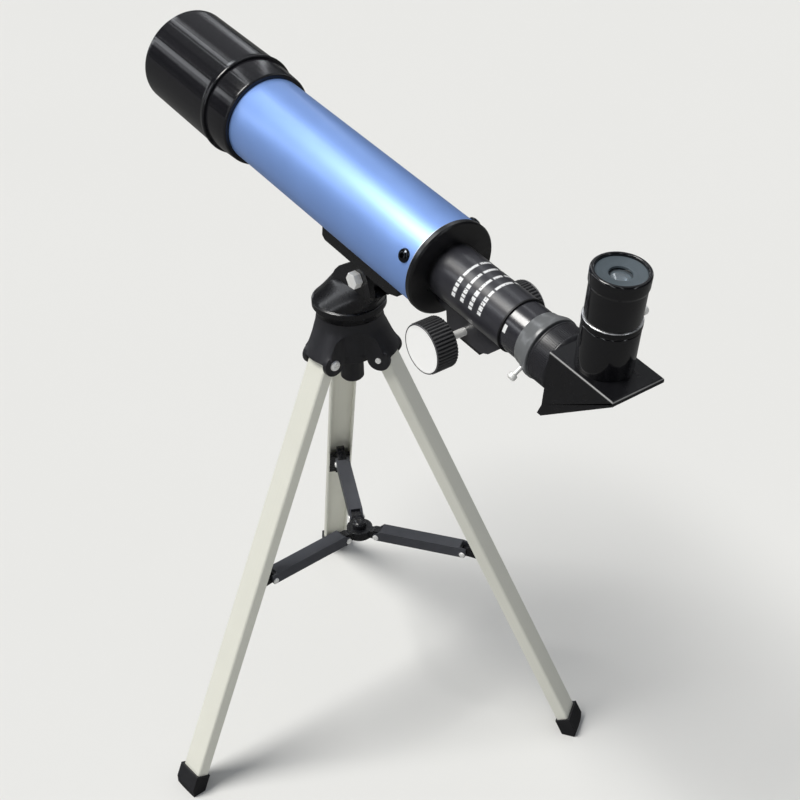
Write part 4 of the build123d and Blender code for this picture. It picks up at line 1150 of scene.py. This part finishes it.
class TELESCOPE_OT_studio(bpy.types.Operator):
    """Set up the paper floor, the camera and the light"""

    bl_idname = "telescope.studio"
    bl_label = "Studio"

    def execute(self, context):
        colours, _, studio = settings()
        across, above, back = camera_axes()
        target = AIM + across * CAMERA_SIDE + above * CAMERA_LIFT - FOOTPRINT
        data = bpy.data.cameras.new("view")
        data.lens = studio.lens
        data.sensor_width = SENSOR_WIDTH
        camera = linked("view", data)
        turned = Matrix((across, above, back)).transposed().to_4x4()
        camera.matrix_world = Matrix.Translation(target * MM + back * studio.distance) @ turned
        context.scene.camera = camera
        studio_floor(tuple(colours.floor_paper))
        light = bpy.data.lights.new("key", "SUN")
        light.energy = studio.key
        light.angle = math.radians(KEY_DEGREES)
        light.color = KEY_COLOUR
        key = linked("key", light)
        key.matrix_world = KEY_WAY.to_track_quat("Z", "Y").to_matrix().to_4x4()
        studio_world(studio.sky)
        context.scene.view_settings.view_transform = "Standard"
        return {"FINISHED"}


class TELESCOPE_PT_sidebar(bpy.types.Panel):
    """Lists the steps that build the telescope"""

    bl_idname = "TELESCOPE_PT_sidebar"
    bl_label = "Tabletop telescope"
    bl_space_type = "VIEW_3D"
    bl_region_type = "UI"
    bl_category = "Telescope"

    def draw(self, context):
        for group in settings():
            box = self.layout.box()
            for name in group.__annotations__:
                box.prop(group, name)
        for step in STEPS:
            self.layout.operator(step.bl_idname)


GROUPS = {
    "telescope_colours": TelescopeColours,
    "telescope_sizes": TelescopeSizes,
    "telescope_studio": StudioSettings,
}
STEPS = (
    TELESCOPE_OT_objective_end,
    TELESCOPE_OT_main_tube,
    TELESCOPE_OT_focuser,
    TELESCOPE_OT_focus_knobs,
    TELESCOPE_OT_collar,
    TELESCOPE_OT_diagonal,
    TELESCOPE_OT_eyepiece,
    TELESCOPE_OT_mount_head,
    TELESCOPE_OT_legs,
    TELESCOPE_OT_spreader,
    TELESCOPE_OT_studio,
)


def register():
    for name, group in GROUPS.items():
        bpy.utils.register_class(group)
        setattr(bpy.types.Scene, name, bpy.props.PointerProperty(type=group))
    for step in STEPS:
        bpy.utils.register_class(step)
    bpy.utils.register_class(TELESCOPE_PT_sidebar)


def unregister():
    bpy.utils.unregister_class(TELESCOPE_PT_sidebar)
    for step in reversed(STEPS):
        bpy.utils.unregister_class(step)
    for name, group in reversed(GROUPS.items()):
        delattr(bpy.types.Scene, name)
        bpy.utils.unregister_class(group)


def main():
    register()
    bpy.ops.telescope.objective_end()
    bpy.ops.telescope.main_tube()
    bpy.ops.telescope.focuser()
    bpy.ops.telescope.focus_knobs()
    bpy.ops.telescope.collar()
    bpy.ops.telescope.diagonal()
    bpy.ops.telescope.eyepiece()
    bpy.ops.telescope.mount_head()
    bpy.ops.telescope.legs()
    bpy.ops.telescope.spreader()
    bpy.ops.telescope.studio()


if __name__ == "__main__":
    main()
